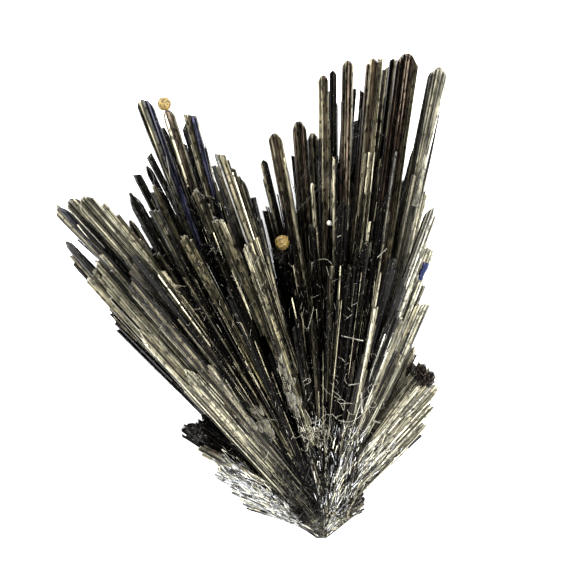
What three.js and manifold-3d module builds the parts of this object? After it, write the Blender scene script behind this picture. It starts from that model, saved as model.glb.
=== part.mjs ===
// A stibnite crystal spray: sheaves of long metallic blades that fan out from one broken root.
// The spray lies on its back. +Z is up, +Y runs from the root towards the longest tips, +X is to the right.
// Each sheaf is a bundle of blades grown into each other, so it is one solid. Three small mineral balls
// and a few loose splinters sit on the blades. Lengths are in millimetres and angles in degrees.

import * as THREE from "three";
import { mergeVertices } from "three/addons/utils/BufferGeometryUtils.js";
import Module from "manifold-3d";

const wasm = await Module();
wasm.setup();

// ---------------------------------------------------------------- driving dimensions

const ROOT = new THREE.Vector3(8.84, -25.67, 0); // where the blades' lines meet, on the resting plane
const FOOT_LOW = 1.9; // height at the root of a blade whose tip lies on the resting plane
const FOOT_GAIN = 0.26; // extra height at the root for each millimetre that the tip rises
const CLEFT = 0.3; // clear gap between neighbouring sheaves, and under the balls and splinters
const FOOT_SHARE = 0.62; // a blade's width at its foot as a share of its full width
const COLUMN_OVERLAP = 1.3; // how far tall blades side by side grow into each other
const LEVEL_OVERLAP = 1.25; // how far tall blades one above the other grow into each other
const REACH_LIMIT = 70; // radius that no blade reaches
const HEIGHT_LIMIT = 60; // height that no blade reaches
const FINEST_DETAIL = 0.02; // facets that differ by less than this are one facet
const RESTING_Z = 0; // the plane that the spray lies on

const ROOT_KNOB = { offset: [0.5, 0.1], radii: [4.5, 3.5, 4.4], middle: 3.7, roughness: 0.07 };

// How a blade ends: the end's length and the width left at its top, as shares of the blade's width,
// and how far its top slants across.
const ENDS = {
  point: { length: 1.7, top: 0.12, slant: 0.25 },
  chisel: { length: 0.9, top: 0.4, slant: 0.35 },
  blunt: { length: 0.35, top: 0.66, slant: 0.15 },
  broken: { length: 0.08, top: 0.94, slant: 0.55 },
};

// Sheaves from left to right. "from" and "to" are the fan angles of the clefts on either side, measured
// from +Y towards the left. A leading blade is: the fan angle of its tip, its reach from the root, its
// tip's height, how far it leans away from that fan angle, the share of its reach that it runs back from
// the tip, its width, and its end. "grown" is the inner part, where the blades are solid against each other:
// rows of tall blades side by side, with the reach and the lowest and highest heights of their outer ends.
// "packing" is the smaller blades that lie over it.
const SHEAVES = [
  {
    name: "silver_flake_sheaf",
    from: 66.2,
    to: 92,
    blades: [
      [68.3, 14.1, 7, -6.3, 1, 1.7, "broken"],
      [73.5, 12.6, 6, -9, 1, 1.7, "broken"],
      [79.5, 10.8, 4, -12, 1, 1.5, "broken"],
      [84, 10.1, 2.2, -14, 1, 0.8, "broken"],
      [87.5, 8.2, 1.6, -16, 1, 0.9, "broken"],
      [76, 11.5, 1.2, -8, 1, 1.6, "broken"],
    ],
    grown: { reach: 9, heights: [1.2, 4.6], columns: 2, levels: 1 },
    packing: { count: 2, reach: [7, 9.5], rise: [4, 6], width: [1, 1.3] },
  },
  {
    name: "tan_stub_sheaf",
    from: 60.9,
    to: 66.2,
    blades: [
      [62.6, 17.5, 5, -1.6, 1, 1.2, "broken"],
      [64.1, 15.5, 4, -2, 1, 1.1, "broken"],
      [63.4, 13.8, 7.5, -1, 1, 1.2, "broken"],
      [63.2, 15, 1.5, 0, 1, 1.3, "broken"],
    ],
    grown: { reach: 13, heights: [1.2, 6], columns: 1, levels: 1 },
    packing: { count: 1, reach: [10, 12], rise: [5, 7], width: [1, 1.2] },
  },
  {
    name: "dark_stub_sheaf",
    from: 49.8,
    to: 60.9,
    blades: [
      [58.6, 20.4, 7, -4, 1, 1.7, "chisel"],
      [56.8, 19.6, 8.5, -3, 1, 1.3, "broken"],
      [54.2, 19.6, 8, -0.2, 1, 1.3, "broken"],
      [51.4, 19.6, 6, 0.5, 1, 1.1, "broken"],
      [55.5, 18.6, 4.5, -1, 1, 1.6, "broken"],
      [55, 17.8, 1.4, 0, 1, 1.9, "broken"],
    ],
    grown: { reach: 15.5, heights: [1.2, 6.5], columns: 2, levels: 1 },
    packing: { count: 3, reach: [12, 17], rise: [5, 9], width: [1, 1.3] },
  },
  {
    name: "left_under_sheaf",
    from: 45.9,
    to: 49.8,
    blades: [
      [46.8, 36.2, 3.6, -0.6, 1, 1.1, "broken"],
      [47.8, 34.2, 2.6, -0.8, 1, 1, "broken"],
      [48.6, 25, 2.1, -0.6, 1, 1.1, "broken"],
      [47.2, 33, 0.7, -0.3, 1, 1.4, "broken"],
      [47.6, 24, 6, 0, 1, 1, "broken"],
    ],
    grown: { reach: 26, heights: [0.8, 5], columns: 1, levels: 1 },
    packing: { count: 2, reach: [16, 28], rise: [3, 5.5], width: [0.9, 1.1] },
  },
  {
    name: "left_outer_sheaf",
    from: 35,
    to: 45.9,
    blades: [
      [40.7, 48.8, 15, 1.3, 0.9, 1.1, "point"],
      [39.2, 48.3, 11, 2.8, 0.6, 0.9, "chisel"],
      [37.7, 47.4, 17, 2.7, 0.7, 1.8, "chisel"],
      [36.2, 45.6, 13, 2.5, 0.8, 1.7, "broken"],
      [43.5, 45.5, 8.5, -1.5, 1, 0.9, "point"],
      [44.4, 44.2, 5.5, -2, 1, 1.1, "broken"],
      [40.4, 46.9, 9, 1.5, 0.8, 0.8, "chisel"],
      [41.6, 40.6, 17.5, -1.6, 1, 2.1, "broken"],
      [44.2, 39.2, 10, -2, 1, 1.4, "broken"],
      [38.3, 41.5, 14, 0.4, 1, 1.3, "broken"],
      [39.6, 37, 20, 0, 1, 1.5, "broken"],
      [43, 35.4, 15, -1.2, 1, 1.4, "broken"],
      [40.5, 44.5, 0.6, 0, 1, 1.7, "blunt"],
      [37.5, 40, 4.5, 0, 1, 1.6, "blunt"],
      [43, 40, 3, 0, 1, 1.6, "blunt"],
    ],
    grown: { reach: 30, heights: [1.3, 12], columns: 4, levels: 2 },
    packing: { count: 3, reach: [24, 40], rise: [10, 18], width: [1.1, 1.6] },
  },
  {
    name: "left_inner_sheaf",
    from: 28.2,
    to: 35,
    blades: [
      [31.2, 45.2, 10, -2.2, 0.9, 1.3, "point"],
      [29.2, 47, 7.5, -1.8, 0.9, 0.9, "chisel"],
      [33.4, 42.8, 6, -2.4, 0.9, 0.8, "point"],
      [29.3, 41.9, 15, -1.5, 1, 1.2, "broken"],
      [34.2, 35, 18.5, 0.4, 1, 0.8, "point"],
      [32.4, 37.5, 13.5, 0, 1, 1.3, "broken"],
      [30.6, 33, 18, 0, 1, 1.4, "broken"],
      [31.2, 42, 0.7, 0, 1, 1.6, "blunt"],
      [33, 36, 4, 0, 1, 1.5, "blunt"],
    ],
    grown: { reach: 29, heights: [1.3, 12], columns: 2, levels: 2 },
    packing: { count: 3, reach: [20, 36], rise: [9, 16], width: [1.1, 1.5] },
  },
  {
    name: "tall_left_sheaf",
    from: 17.9,
    to: 28.2,
    blades: [
      [23.6, 54.1, 14, -3.4, 0.62, 1.6, "blunt"],
      [20.8, 52.2, 11, -3.4, 0.62, 1.25, "blunt"],
      [18.8, 50.8, 13, -3.4, 0.62, 1.35, "chisel"],
      [22.9, 50.5, 8, 1.3, 0.6, 0.6, "point"],
      [26.1, 48.3, 9, 0.9, 0.8, 0.75, "chisel"],
      [27, 47.3, 8, -0.3, 0.8, 0.75, "point"],
      [27, 44.8, 13, -1.4, 1, 1.2, "broken"],
      [26.4, 37.6, 20, -1.6, 1, 1.1, "broken"],
      [21.2, 41.2, 17, -0.2, 1, 1.5, "broken"],
      [19.3, 37, 21.5, 1, 1, 1.4, "broken"],
      [24, 36, 17, 0, 1, 1.5, "broken"],
      [22.6, 30, 20.5, 0, 1, 1.3, "broken"],
      [23, 46, 0.7, 0, 1, 1.8, "blunt"],
      [19.8, 42, 4.5, 0, 1, 1.6, "blunt"],
      [26, 40, 4, 0, 1, 1.6, "blunt"],
      [21.4, 48.4, 3.6, 0, 1, 1.3, "blunt"],
      [19.6, 50, 6.6, -2, 1, 1.3, "blunt"],
      [23.6, 51.2, 10, -2.4, 1, 1.3, "blunt"],
    ],
    grown: { reach: 30, heights: [1.3, 13.5], columns: 4, levels: 2 },
    packing: { count: 3, reach: [22, 40], rise: [10, 18], width: [1.1, 1.6] },
  },
  {
    name: "ridge_sheaf",
    from: 11.7,
    to: 17.9,
    blades: [
      [17.2, 44.6, 15, 1, 0.8, 1, "broken"],
      [16.2, 44.9, 19, 2, 0.8, 1.1, "chisel"],
      [15.2, 43.9, 18, 2, 0.8, 1, "broken"],
      [14.1, 41.7, 16, 2, 0.8, 1, "point"],
      [12.9, 39.2, 12, 0.8, 1, 0.8, "broken"],
      [15.7, 34.1, 22.5, 1.2, 1, 1.3, "broken"],
      [13.4, 33, 19.5, 0.8, 1, 1.2, "broken"],
      [14.4, 36, 0.8, 0, 1, 1.6, "blunt"],
      [16, 38, 6, 0, 1, 1.5, "blunt"],
    ],
    grown: { reach: 27, heights: [1.3, 14], columns: 2, levels: 2 },
    packing: { count: 3, reach: [18, 34], rise: [10, 19], width: [1.1, 1.5] },
  },
  {
    name: "notch_sheaf",
    from: 1,
    to: 11.7,
    blades: [
      [11.1, 37.2, 9, 1.6, 0.8, 0.6, "broken"],
      [9.8, 43.2, 10, 3, 0.8, 0.85, "blunt"],
      [7.5, 46.1, 13, 3, 0.9, 1.45, "chisel"],
      [3.9, 47.3, 12, 0.7, 1, 1.55, "chisel"],
      [5.1, 43.5, 9, 1, 0.9, 0.6, "broken"],
      [1.9, 46, 8, 0.4, 0.9, 1.3, "blunt"],
      [9.4, 31, 12.5, 1.5, 1, 1.4, "broken"],
      [2.6, 35, 16, 0.6, 1, 1.1, "point"],
      [6.4, 28, 15, 1, 1, 1.3, "broken"],
      [8.6, 24, 18, 0, 1, 1.2, "broken"],
      [4, 24, 17, 0, 1, 1.2, "broken"],
      [6, 36, 0.8, 0, 1, 1.7, "blunt"],
      [3.4, 40, 3.5, 0, 1, 1.5, "blunt"],
      [9, 34, 5, 0, 1, 1.5, "blunt"],
    ],
    grown: { reach: 24, heights: [1.3, 11.5], columns: 3, levels: 2 },
    packing: { count: 3, reach: [18, 32], rise: [9, 15], width: [1.1, 1.5] },
  },
  {
    name: "right_tall_sheaf",
    from: -11.9,
    to: 1,
    blades: [
      [0.3, 52.5, 15, 0.5, 0.9, 1.2, "blunt"],
      [-1, 53.2, 12, 1, 0.9, 0.8, "blunt"],
      [-0.8, 51.2, 9, 1, 0.9, 1.3, "broken"],
      [-2.8, 54.3, 15, 1.8, 0.9, 1.4, "chisel"],
      [-4.2, 51.3, 10, -0.8, 0.8, 0.6, "point"],
      [-6, 54.9, 19, 1.4, 1, 1.5, "chisel"],
      [-5.2, 51, 12, 1.2, 1, 0.9, "broken"],
      [-7.8, 54.2, 15, 1.8, 0.9, 1.2, "broken"],
      [-8.7, 55, 18, 2.4, 0.9, 0.9, "broken"],
      [-9.9, 55.5, 21, 2.6, 1, 2.2, "chisel"],
      [-3.2, 38, 19.5, 0.6, 1, 1.2, "broken"],
      [-5.4, 30, 20, 0, 1, 1.3, "broken"],
      [-8, 33, 20, 0.6, 1, 1.3, "broken"],
      [-10.4, 36, 17, 1, 1, 1.4, "broken"],
      [-1.4, 30, 17.5, 0, 1, 1.2, "broken"],
      [-5, 48, 0.7, 0, 1, 1.9, "blunt"],
      [-9.4, 46, 4.5, 0, 1, 1.7, "blunt"],
      [-1.2, 44, 4, 0, 1, 1.6, "blunt"],
      [-8.4, 50.4, 7.4, 0, 1, 1.4, "blunt"],
      [-3.2, 48.6, 3.8, 0, 1, 1.4, "blunt"],
      [-9.8, 53.4, 13, 1, 1, 1.4, "blunt"],
      [-5.8, 51.6, 10.6, 0, 1, 1.4, "blunt"],
    ],
    grown: { reach: 30, heights: [1.3, 14], columns: 4, levels: 2 },
    packing: { count: 4, reach: [22, 42], rise: [10, 18], width: [1.1, 1.6] },
  },
  {
    name: "far_right_blade_sheaf",
    from: -17.4,
    to: -11.9,
    blades: [
      [-14.2, 55, 17, 1.7, 1, 2.1, "chisel"],
      [-16.4, 40.6, 12, 2.4, 0.8, 1, "broken"],
      [-13.6, 42, 12.5, 1, 1, 1.2, "broken"],
      [-14.8, 32, 17, 0, 1, 1.4, "broken"],
      [-13.2, 26, 18, 0, 1, 1.2, "broken"],
      [-14.4, 42, 0.7, 0, 1, 1.7, "blunt"],
      [-15.6, 43, 6, 0, 1, 1.3, "blunt"],
      [-14.2, 45.6, 3.6, 0, 1, 1.4, "blunt"],
      [-14.2, 49, 8.6, 0.6, 1, 1.4, "blunt"],
      [-14.2, 52.4, 12.8, 1, 1, 1.4, "blunt"],
    ],
    grown: { reach: 27, heights: [1.3, 12.5], columns: 2, levels: 2 },
    packing: { count: 2, reach: [18, 34], rise: [9, 15], width: [1.1, 1.4] },
  },
  {
    name: "right_flank_sheaf",
    from: -28.9,
    to: -17.4,
    blades: [
      [-18.9, 39.1, 18, -0.7, 1, 1.1, "point"],
      [-20.9, 34.7, 14, 0.8, 1, 1.6, "chisel"],
      [-24.6, 28.2, 12, 2, 1, 1.5, "chisel"],
      [-27.8, 23, 10, 3, 0.9, 0.9, "point"],
      [-22.6, 30.5, 9, 1, 1, 1.2, "broken"],
      [-20.2, 26, 18.5, 0, 1, 1.3, "broken"],
      [-24.4, 22, 15, 0, 1, 1.3, "broken"],
      [-21.6, 29, 0.7, 0, 1, 1.7, "blunt"],
      [-26, 20, 4, 0, 1, 1.4, "blunt"],
      [-19.4, 27, 5, 0, 1, 1.4, "blunt"],
    ],
    grown: { reach: 20, heights: [1.3, 11.5], columns: 3, levels: 2 },
    packing: { count: 3, reach: [14, 26], rise: [7, 14], width: [1, 1.4] },
  },
  {
    name: "lower_right_tuft",
    from: -53,
    to: -28.9,
    blades: [
      [-30.8, 21, 9, -3, 1, 1.1, "broken"],
      [-33.8, 21.4, 11, -3.4, 1, 1.3, "broken"],
      [-37.2, 21.3, 12, -2.8, 1, 1.3, "broken"],
      [-40.4, 20.6, 9, -0.6, 1, 1.3, "broken"],
      [-44.2, 18.5, 7, 2.5, 1, 1.3, "chisel"],
      [-47.6, 16.3, 5, 4.8, 1, 1.2, "chisel"],
      [-35.6, 19, 14, -2, 1, 1.2, "broken"],
      [-40, 16.5, 12.5, 0, 1, 1.3, "broken"],
      [-40, 17.5, 1, 0, 1, 1.7, "blunt"],
      [-34, 17, 4, 0, 1, 1.5, "blunt"],
      [-46, 13, 2.5, 1, 1, 1.4, "blunt"],
    ],
    grown: { reach: 14, heights: [1.3, 9], columns: 3, levels: 2 },
    packing: { count: 3, reach: [9, 15], rise: [6, 11], width: [1, 1.4] },
  },
];

// The balls of another mineral: where they sit as fan angle and reach, their radius, and the height of
// the one at a blade's tip. The others are set down on the blades under them.
const BALLS = [
  { name: "yellow_ball_on_tip", angle: 21.35, reach: 52.9, radius: 0.85, height: 11, colour: "#c9962f" },
  { name: "yellow_ball_in_notch", angle: 8.9, reach: 33.1, radius: 0.9, colour: "#b48a35" },
  { name: "white_bead", angle: -0.8, reach: 35, radius: 0.32, colour: "#c8c4b4" },
];

// Loose splinters that lie across the blades: fan angle and reach of the middle, the way they point, length
// and thickness.
const SPLINTERS = [
  { angle: -8.4, reach: 21.5, heading: -103, length: 2.6, thickness: 0.2 },
  { angle: -12.5, reach: 16.2, heading: -81, length: 1.5, thickness: 0.16 },
  { angle: -17.6, reach: 14.3, heading: 3, length: 2.6, thickness: 0.3 },
  { angle: -28.8, reach: 12.8, heading: -105, length: 0.9, thickness: 0.26 },
  { angle: -12, reach: 32.1, heading: -46, length: 1.5, thickness: 0.14 },
];

// ---------------------------------------------------------------- small helpers

const rad = THREE.MathUtils.degToRad;

// A repeatable source of random numbers from 0 to 1.
function randomSource(seed) {
  let state = seed;
  return () => {
    state = (state + 0x6d2b79f5) | 0;
    let mixed = Math.imul(state ^ (state >>> 15), 1 | state);
    mixed = (mixed + Math.imul(mixed ^ (mixed >>> 7), 61 | mixed)) ^ mixed;
    return ((mixed ^ (mixed >>> 14)) >>> 0) / 4294967296;
  };
}

// A horizontal unit vector at a fan angle.
function fanDirection(angle) {
  return new THREE.Vector3(-Math.sin(rad(angle)), Math.cos(rad(angle)), 0);
}

// The point at a fan angle, reach and height.
function fanPoint(angle, reach, height) {
  const point = fanDirection(angle).multiplyScalar(reach).add(ROOT);
  point.z = height;
  return point;
}

function solidFrom(geometry) {
  const bare = geometry.clone();
  bare.deleteAttribute("normal");
  bare.deleteAttribute("uv");
  const merged = mergeVertices(bare, 1e-4);
  return new wasm.Manifold(
    new wasm.Mesh({
      numProp: 3,
      vertProperties: merged.attributes.position.array,
      triVerts: new Uint32Array(merged.index.array),
    }),
  );
}

function geometryFrom(solid) {
  const mesh = solid.getMesh();
  const geometry = new THREE.BufferGeometry();
  geometry.setAttribute("position", new THREE.BufferAttribute(mesh.vertProperties, 3));
  geometry.setIndex(new THREE.BufferAttribute(mesh.triVerts, 1));
  const faceted = geometry.toNonIndexed();
  faceted.computeVertexNormals();
  return faceted;
}

// Of a solid that a cut has left in several bodies, the largest.
function largestBody(solid) {
  return solid.decompose().reduce((best, body) => (body.volume() > best.volume() ? body : best));
}

// ---------------------------------------------------------------- one blade

// A blade on the origin along +Y: a prism that widens from foot to shoulder, and its end. A prism of four
// sides has flat sides and a flat top. One of six has an edge along either side.
function bladeGeometry(length, width, depth, endName, sides) {
  const end = ENDS[endName];
  const corner = sides === 4 ? Math.SQRT1_2 * width : width / 2;
  const shoulder = length - end.length * width;
  const profile = [
    new THREE.Vector2(0, 0),
    new THREE.Vector2(corner * FOOT_SHARE, 0),
    new THREE.Vector2(corner, shoulder),
    new THREE.Vector2(corner * end.top, length),
    new THREE.Vector2(0, length),
  ];
  const geometry = new THREE.LatheGeometry(profile, sides, Math.PI / sides);
  const place = geometry.attributes.position;
  for (let i = 0; i < place.count; i++) {
    if (place.getY(i) > shoulder - 0.01) place.setY(i, place.getY(i) + place.getX(i) * end.slant);
  }
  geometry.scale(1, 1, depth / width);
  return geometry;
}

// The blade as a solid, placed by its tip. Blades with higher tips start higher at the root.
function bladeSolid({ angle, reach, rise, lean = 0, share = 1, width, depth, end, turn, sides = 6 }) {
  const tip = fanPoint(angle, reach, rise);
  const foot = fanDirection(angle + lean).multiplyScalar(-reach).add(tip);
  foot.z = FOOT_LOW + FOOT_GAIN * rise;
  foot.lerpVectors(tip, foot, share);
  const along = tip.clone().sub(foot);
  const length = along.length();
  along.normalize();
  const across = along.clone().cross(new THREE.Vector3(0, 0, 1)).normalize();
  const upward = across.clone().cross(along);
  const geometry = bladeGeometry(length, width, depth, end, sides);
  geometry.rotateY(rad(turn));
  geometry.applyMatrix4(new THREE.Matrix4().makeBasis(across, along, upward).setPosition(foot));
  return solidFrom(geometry);
}

// The tall blades side by side that the inner part of a sheaf is grown from, in one or more levels.
function grownSolids({ from, to, grown }, random) {
  const [low, high] = grown.heights;
  const levelHeight = (high - low) / grown.levels;
  const columnAngle = (to - from) / grown.columns;
  const width = 2 * grown.reach * Math.tan(rad(columnAngle) / 2) * COLUMN_OVERLAP;
  return Array.from({ length: grown.columns * grown.levels }, (_, i) => {
    const column = i % grown.columns;
    const level = Math.floor(i / grown.columns);
    return bladeSolid({
      angle: from + (column + 0.5) * columnAngle,
      reach: grown.reach * (0.72 + 0.4 * random()),
      rise: low + (level + 0.4 + 0.2 * random()) * levelHeight,
      width,
      depth: levelHeight * LEVEL_OVERLAP,
      end: "broken",
      turn: 0,
      sides: 4,
    });
  });
}

// ---------------------------------------------------------------- the root and the sheaves

// The broken root: a rough knob that every sheaf springs from. "grow" swells it for the gap round it.
function rootKnob(grow) {
  const geometry = new THREE.IcosahedronGeometry(1, 3);
  const place = geometry.attributes.position;
  const [rx, ry, rz] = ROOT_KNOB.radii;
  for (let i = 0; i < place.count; i++) {
    const [x, y, z] = [place.getX(i), place.getY(i), place.getZ(i)];
    const lump = 1 + ROOT_KNOB.roughness * Math.sin(5 * x + 2 * z) * Math.cos(6 * y - 3 * z);
    place.setXYZ(i, x * (rx * lump + grow), y * (ry * lump + grow), z * (rz * lump + grow));
  }
  const [dx, dy] = ROOT_KNOB.offset;
  geometry.translate(ROOT.x + dx, ROOT.y + dy, ROOT_KNOB.middle);
  return solidFrom(geometry);
}

// Everything below the resting plane, which flattens what the spray lies on.
function groundSolid() {
  const geometry = new THREE.BoxGeometry(3 * REACH_LIMIT, 3 * REACH_LIMIT, HEIGHT_LIMIT);
  geometry.translate(0, 0, RESTING_Z - HEIGHT_LIMIT / 2);
  return solidFrom(geometry);
}

// The hollow that a ball sits in where it has grown against a blade.
function ballClearance(ball) {
  const centre = fanPoint(ball.angle, ball.reach, ball.height);
  const geometry = new THREE.IcosahedronGeometry(ball.radius + CLEFT, 1);
  geometry.translate(centre.x, centre.y, centre.z);
  return solidFrom(geometry);
}

// The wedge of space that one sheaf fills, half a cleft inside the fan angles on either side.
function wedgeSolid(from, to) {
  const inset = CLEFT / 2 / Math.sin(rad((to - from) / 2));
  const apex = fanDirection((from + to) / 2).multiplyScalar(inset).add(ROOT);
  const right = fanDirection(from).multiplyScalar(REACH_LIMIT).add(apex);
  const left = fanDirection(to).multiplyScalar(REACH_LIMIT).add(apex);
  const plan = new THREE.Shape([apex, right, left].map((p) => new THREE.Vector2(p.x, p.y)));
  const geometry = new THREE.ExtrudeGeometry(plan, { depth: 2 * HEIGHT_LIMIT, bevelEnabled: false });
  geometry.translate(0, 0, -HEIGHT_LIMIT);
  return solidFrom(geometry);
}

function sheafSolid(sheaf, seed, clearances) {
  const random = randomSource(seed);
  const between = ([low, high]) => low + (high - low) * random();
  const shaped = (width) => ({ width, depth: width * between([0.7, 0.95]), turn: between([-7, 7]) });
  const leading = sheaf.blades.map(([angle, reach, rise, lean, share, width, end]) =>
    bladeSolid({ angle, reach, rise, lean, share, end, ...shaped(width) }),
  );
  const { count, reach, rise, width } = sheaf.packing;
  const packed = Array.from({ length: count }, (_, i) => {
    const angle = sheaf.from + ((sheaf.to - sheaf.from) * (i + between([0.2, 0.8]))) / count;
    const place = { angle, reach: between(reach), rise: between(rise) };
    return bladeSolid({ ...place, end: "broken", ...shaped(between(width)) });
  });
  const grown = [...grownSolids(sheaf, random), ...leading, ...packed].reduce((sum, blade) => sum.add(blade));
  const inWedge = grown.intersect(wedgeSolid(sheaf.from, sheaf.to));
  const cleared = clearances.reduce((left, cut) => left.subtract(cut), inWedge);
  return largestBody(cleared).asOriginal().simplify(FINEST_DETAIL);
}

// ---------------------------------------------------------------- assembly

const stibnite = new THREE.MeshStandardMaterial({ color: "#4b4a45", metalness: 0.9, roughness: 0.35 });
const silvery = new THREE.MeshStandardMaterial({ color: "#8d8d8a", metalness: 0.8, roughness: 0.45 });
const splinter = new THREE.MeshStandardMaterial({ color: "#d9d8d2", metalness: 0.6, roughness: 0.3 });

function named(name, geometry, material) {
  const mesh = new THREE.Mesh(geometry, material);
  mesh.name = name;
  return mesh;
}

// The height of the blades under a point, found from straight above.
function surfaceHeight(point, meshes) {
  const above = new THREE.Vector3(point.x, point.y, HEIGHT_LIMIT);
  const hits = new THREE.Raycaster(above, new THREE.Vector3(0, 0, -1)).intersectObjects(meshes);
  return hits.length ? hits[0].point.z : 0;
}

// The greatest height of the blades under a horizontal disc.
function surfaceUnderDisc(centre, radius, meshes) {
  const steps = 12;
  const heights = [surfaceHeight(centre, meshes)];
  for (let i = 0; i < steps; i++) {
    for (const share of [0.5, 1]) {
      const offset = fanDirection((360 * i) / steps).multiplyScalar(radius * share);
      heights.push(surfaceHeight(centre.clone().add(offset), meshes));
    }
  }
  return Math.max(...heights);
}

function ballMesh(ball, sheafMeshes) {
  const centre = fanPoint(ball.angle, ball.reach, 0);
  const resting = () => surfaceUnderDisc(centre, ball.radius, sheafMeshes) + ball.radius + CLEFT;
  const material = new THREE.MeshStandardMaterial({ color: ball.colour, metalness: 0, roughness: 0.6 });
  const mesh = named(ball.name, new THREE.IcosahedronGeometry(ball.radius, 1), material);
  mesh.position.set(centre.x, centre.y, ball.height ?? resting());
  return mesh;
}

function splinterMesh({ angle, reach, heading, length, thickness }, index, sheafMeshes) {
  const middle = fanPoint(angle, reach, 0);
  const steps = 8;
  const heights = Array.from({ length: steps + 1 }, (_, i) => {
    const along = fanDirection(heading).multiplyScalar(length * (i / steps - 0.5));
    return surfaceUnderDisc(middle.clone().add(along), thickness, sheafMeshes);
  });
  const profile = [
    new THREE.Vector2(0, -length / 2),
    new THREE.Vector2(thickness * 0.35, -length / 2),
    new THREE.Vector2(thickness * 0.5, length * 0.3),
    new THREE.Vector2(0, length / 2),
  ];
  const mesh = named(`loose_splinter_${index + 1}`, new THREE.LatheGeometry(profile, 5), splinter);
  mesh.position.set(middle.x, middle.y, Math.max(...heights) + thickness / 2 + CLEFT);
  mesh.rotation.z = rad(heading);
  return mesh;
}

const spray = new THREE.Group();
const ground = groundSolid();
spray.add(named("broken_root", geometryFrom(rootKnob(0).subtract(ground)), silvery));

const clearances = [ground, rootKnob(CLEFT), ...BALLS.filter((ball) => ball.height).map(ballClearance)];
const sheafMeshes = SHEAVES.map((sheaf, index) => {
  const solid = sheafSolid(sheaf, 11 + 7 * index, clearances);
  return named(sheaf.name, geometryFrom(solid), stibnite);
});
spray.add(...sheafMeshes);
BALLS.forEach((ball) => spray.add(ballMesh(ball, sheafMeshes)));
SPLINTERS.forEach((item, index) => spray.add(splinterMesh(item, index, sheafMeshes)));

export default spray;
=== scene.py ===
"""Stibnite crystal spray: striated metallic blades fanned from one broken root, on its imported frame."""

import logging
import math
from dataclasses import dataclass, field
from enum import Enum

import bpy
import numpy as np
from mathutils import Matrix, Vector
from mathutils.bvhtree import BVHTree


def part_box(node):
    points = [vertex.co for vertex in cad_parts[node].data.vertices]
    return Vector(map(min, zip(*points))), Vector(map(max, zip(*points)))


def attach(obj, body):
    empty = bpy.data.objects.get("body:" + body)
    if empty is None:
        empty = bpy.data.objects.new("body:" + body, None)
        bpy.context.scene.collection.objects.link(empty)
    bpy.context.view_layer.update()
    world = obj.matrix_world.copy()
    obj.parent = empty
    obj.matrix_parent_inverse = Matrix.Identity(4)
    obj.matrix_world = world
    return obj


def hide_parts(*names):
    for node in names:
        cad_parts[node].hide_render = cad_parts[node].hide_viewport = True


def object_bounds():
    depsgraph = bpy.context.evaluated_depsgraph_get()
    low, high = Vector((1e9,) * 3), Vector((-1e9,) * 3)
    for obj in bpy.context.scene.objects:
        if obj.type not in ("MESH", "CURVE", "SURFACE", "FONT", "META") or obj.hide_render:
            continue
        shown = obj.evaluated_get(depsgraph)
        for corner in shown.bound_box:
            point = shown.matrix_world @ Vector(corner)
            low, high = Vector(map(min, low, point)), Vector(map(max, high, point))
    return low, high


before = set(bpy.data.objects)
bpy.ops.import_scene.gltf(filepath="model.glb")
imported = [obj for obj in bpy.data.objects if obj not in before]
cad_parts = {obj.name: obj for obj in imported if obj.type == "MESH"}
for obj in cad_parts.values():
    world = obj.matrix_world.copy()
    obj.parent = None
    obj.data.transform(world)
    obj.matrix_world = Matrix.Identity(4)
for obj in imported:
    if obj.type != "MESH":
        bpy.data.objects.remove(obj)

logging.basicConfig(level=logging.INFO, format="%(message)s")
log = logging.getLogger("spray")

Material = bpy.types.Material
Piece = bpy.types.Object
Tree = bpy.types.NodeTree
Node = bpy.types.Node

MM = 0.001
CAD_BOUNDS = [list(map(float, corner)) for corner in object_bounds()]
FOOT_LOW = 1.9  # height at the root of a blade whose tip lies on the resting plane, in millimetres
FOOT_GAIN = 0.26  # extra height at the root for each millimetre that the tip rises
FOOT_SHARE = 0.55  # a strip's width at its foot as a share of its width at the tip
BODY_SHARE = 0.9  # where a mould's body stops and its end begins
ROOT_OFFSET = (-0.31, -0.1)  # from the middle of the root knob's box to the root point, in millimetres
APEX_OFFSET = (-0.34, -3.1, 1.6)  # from the root point to the root's lowest broken point
BAND_OVERLAP = 1.3  # a band's width over its share of its blade's, so that neighbours run together
ARCH = 16  # degrees that the outer bands of a blade are turned outwards
GOLDEN_TURN = 2.39996  # radians between neighbouring grains, which spreads them evenly over a ball


class End(Enum):
    """How a blade ends, with the length of the bevel at its end as a share of a band's width."""

    POINT = 1.2
    CHISEL = 1.0
    BLUNT = 0.8
    BROKEN = 0.25


class Tone(Enum):
    """Face colours of stibnite, keyed by the letter that stands for them in a blade's row of strips.

    BLACK and UMBER are painted shade for deep gaps and shaded faces; PALE and WHITE are partly the metal's
    own pale grey and partly painted highlight.
    """

    BLACK = ("b", "#050404")
    UMBER = ("u", "#13100d")
    LEAD = ("l", "#3a3936")
    KHAKI = ("k", "#5b5646")
    TAN = ("t", "#807b67")
    PALE = ("p", "#aaa691")
    WHITE = ("w", "#cbc8b9")
    SILVER = ("i", "#a2a4a6")
    DULL_UMBER = ("m", "#4d4238")
    BROWN = ("n", "#3a3025")
    VIOLET = ("v", "#2b2c3d")
    BLUE = ("s", "#1f2c62")


POINT, CHISEL, BLUNT, BROKEN = End.POINT, End.CHISEL, End.BLUNT, End.BROKEN


def linear(hex_colour: str) -> tuple[float, float, float]:
    """Turns an sRGB hex colour to linear light.

    Args:
        hex_colour: Colour as "#rrggbb".

    Returns:
        The red, green and blue of the colour in linear light.
    """
    shares = [int(hex_colour[i : i + 2], 16) / 255 for i in (1, 3, 5)]
    return tuple(c / 12.92 if c <= 0.04045 else ((c + 0.055) / 1.055) ** 2.4 for c in shares)


TINTS = {tone.value[0]: np.array(linear(tone.value[1])) for tone in Tone}


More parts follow.
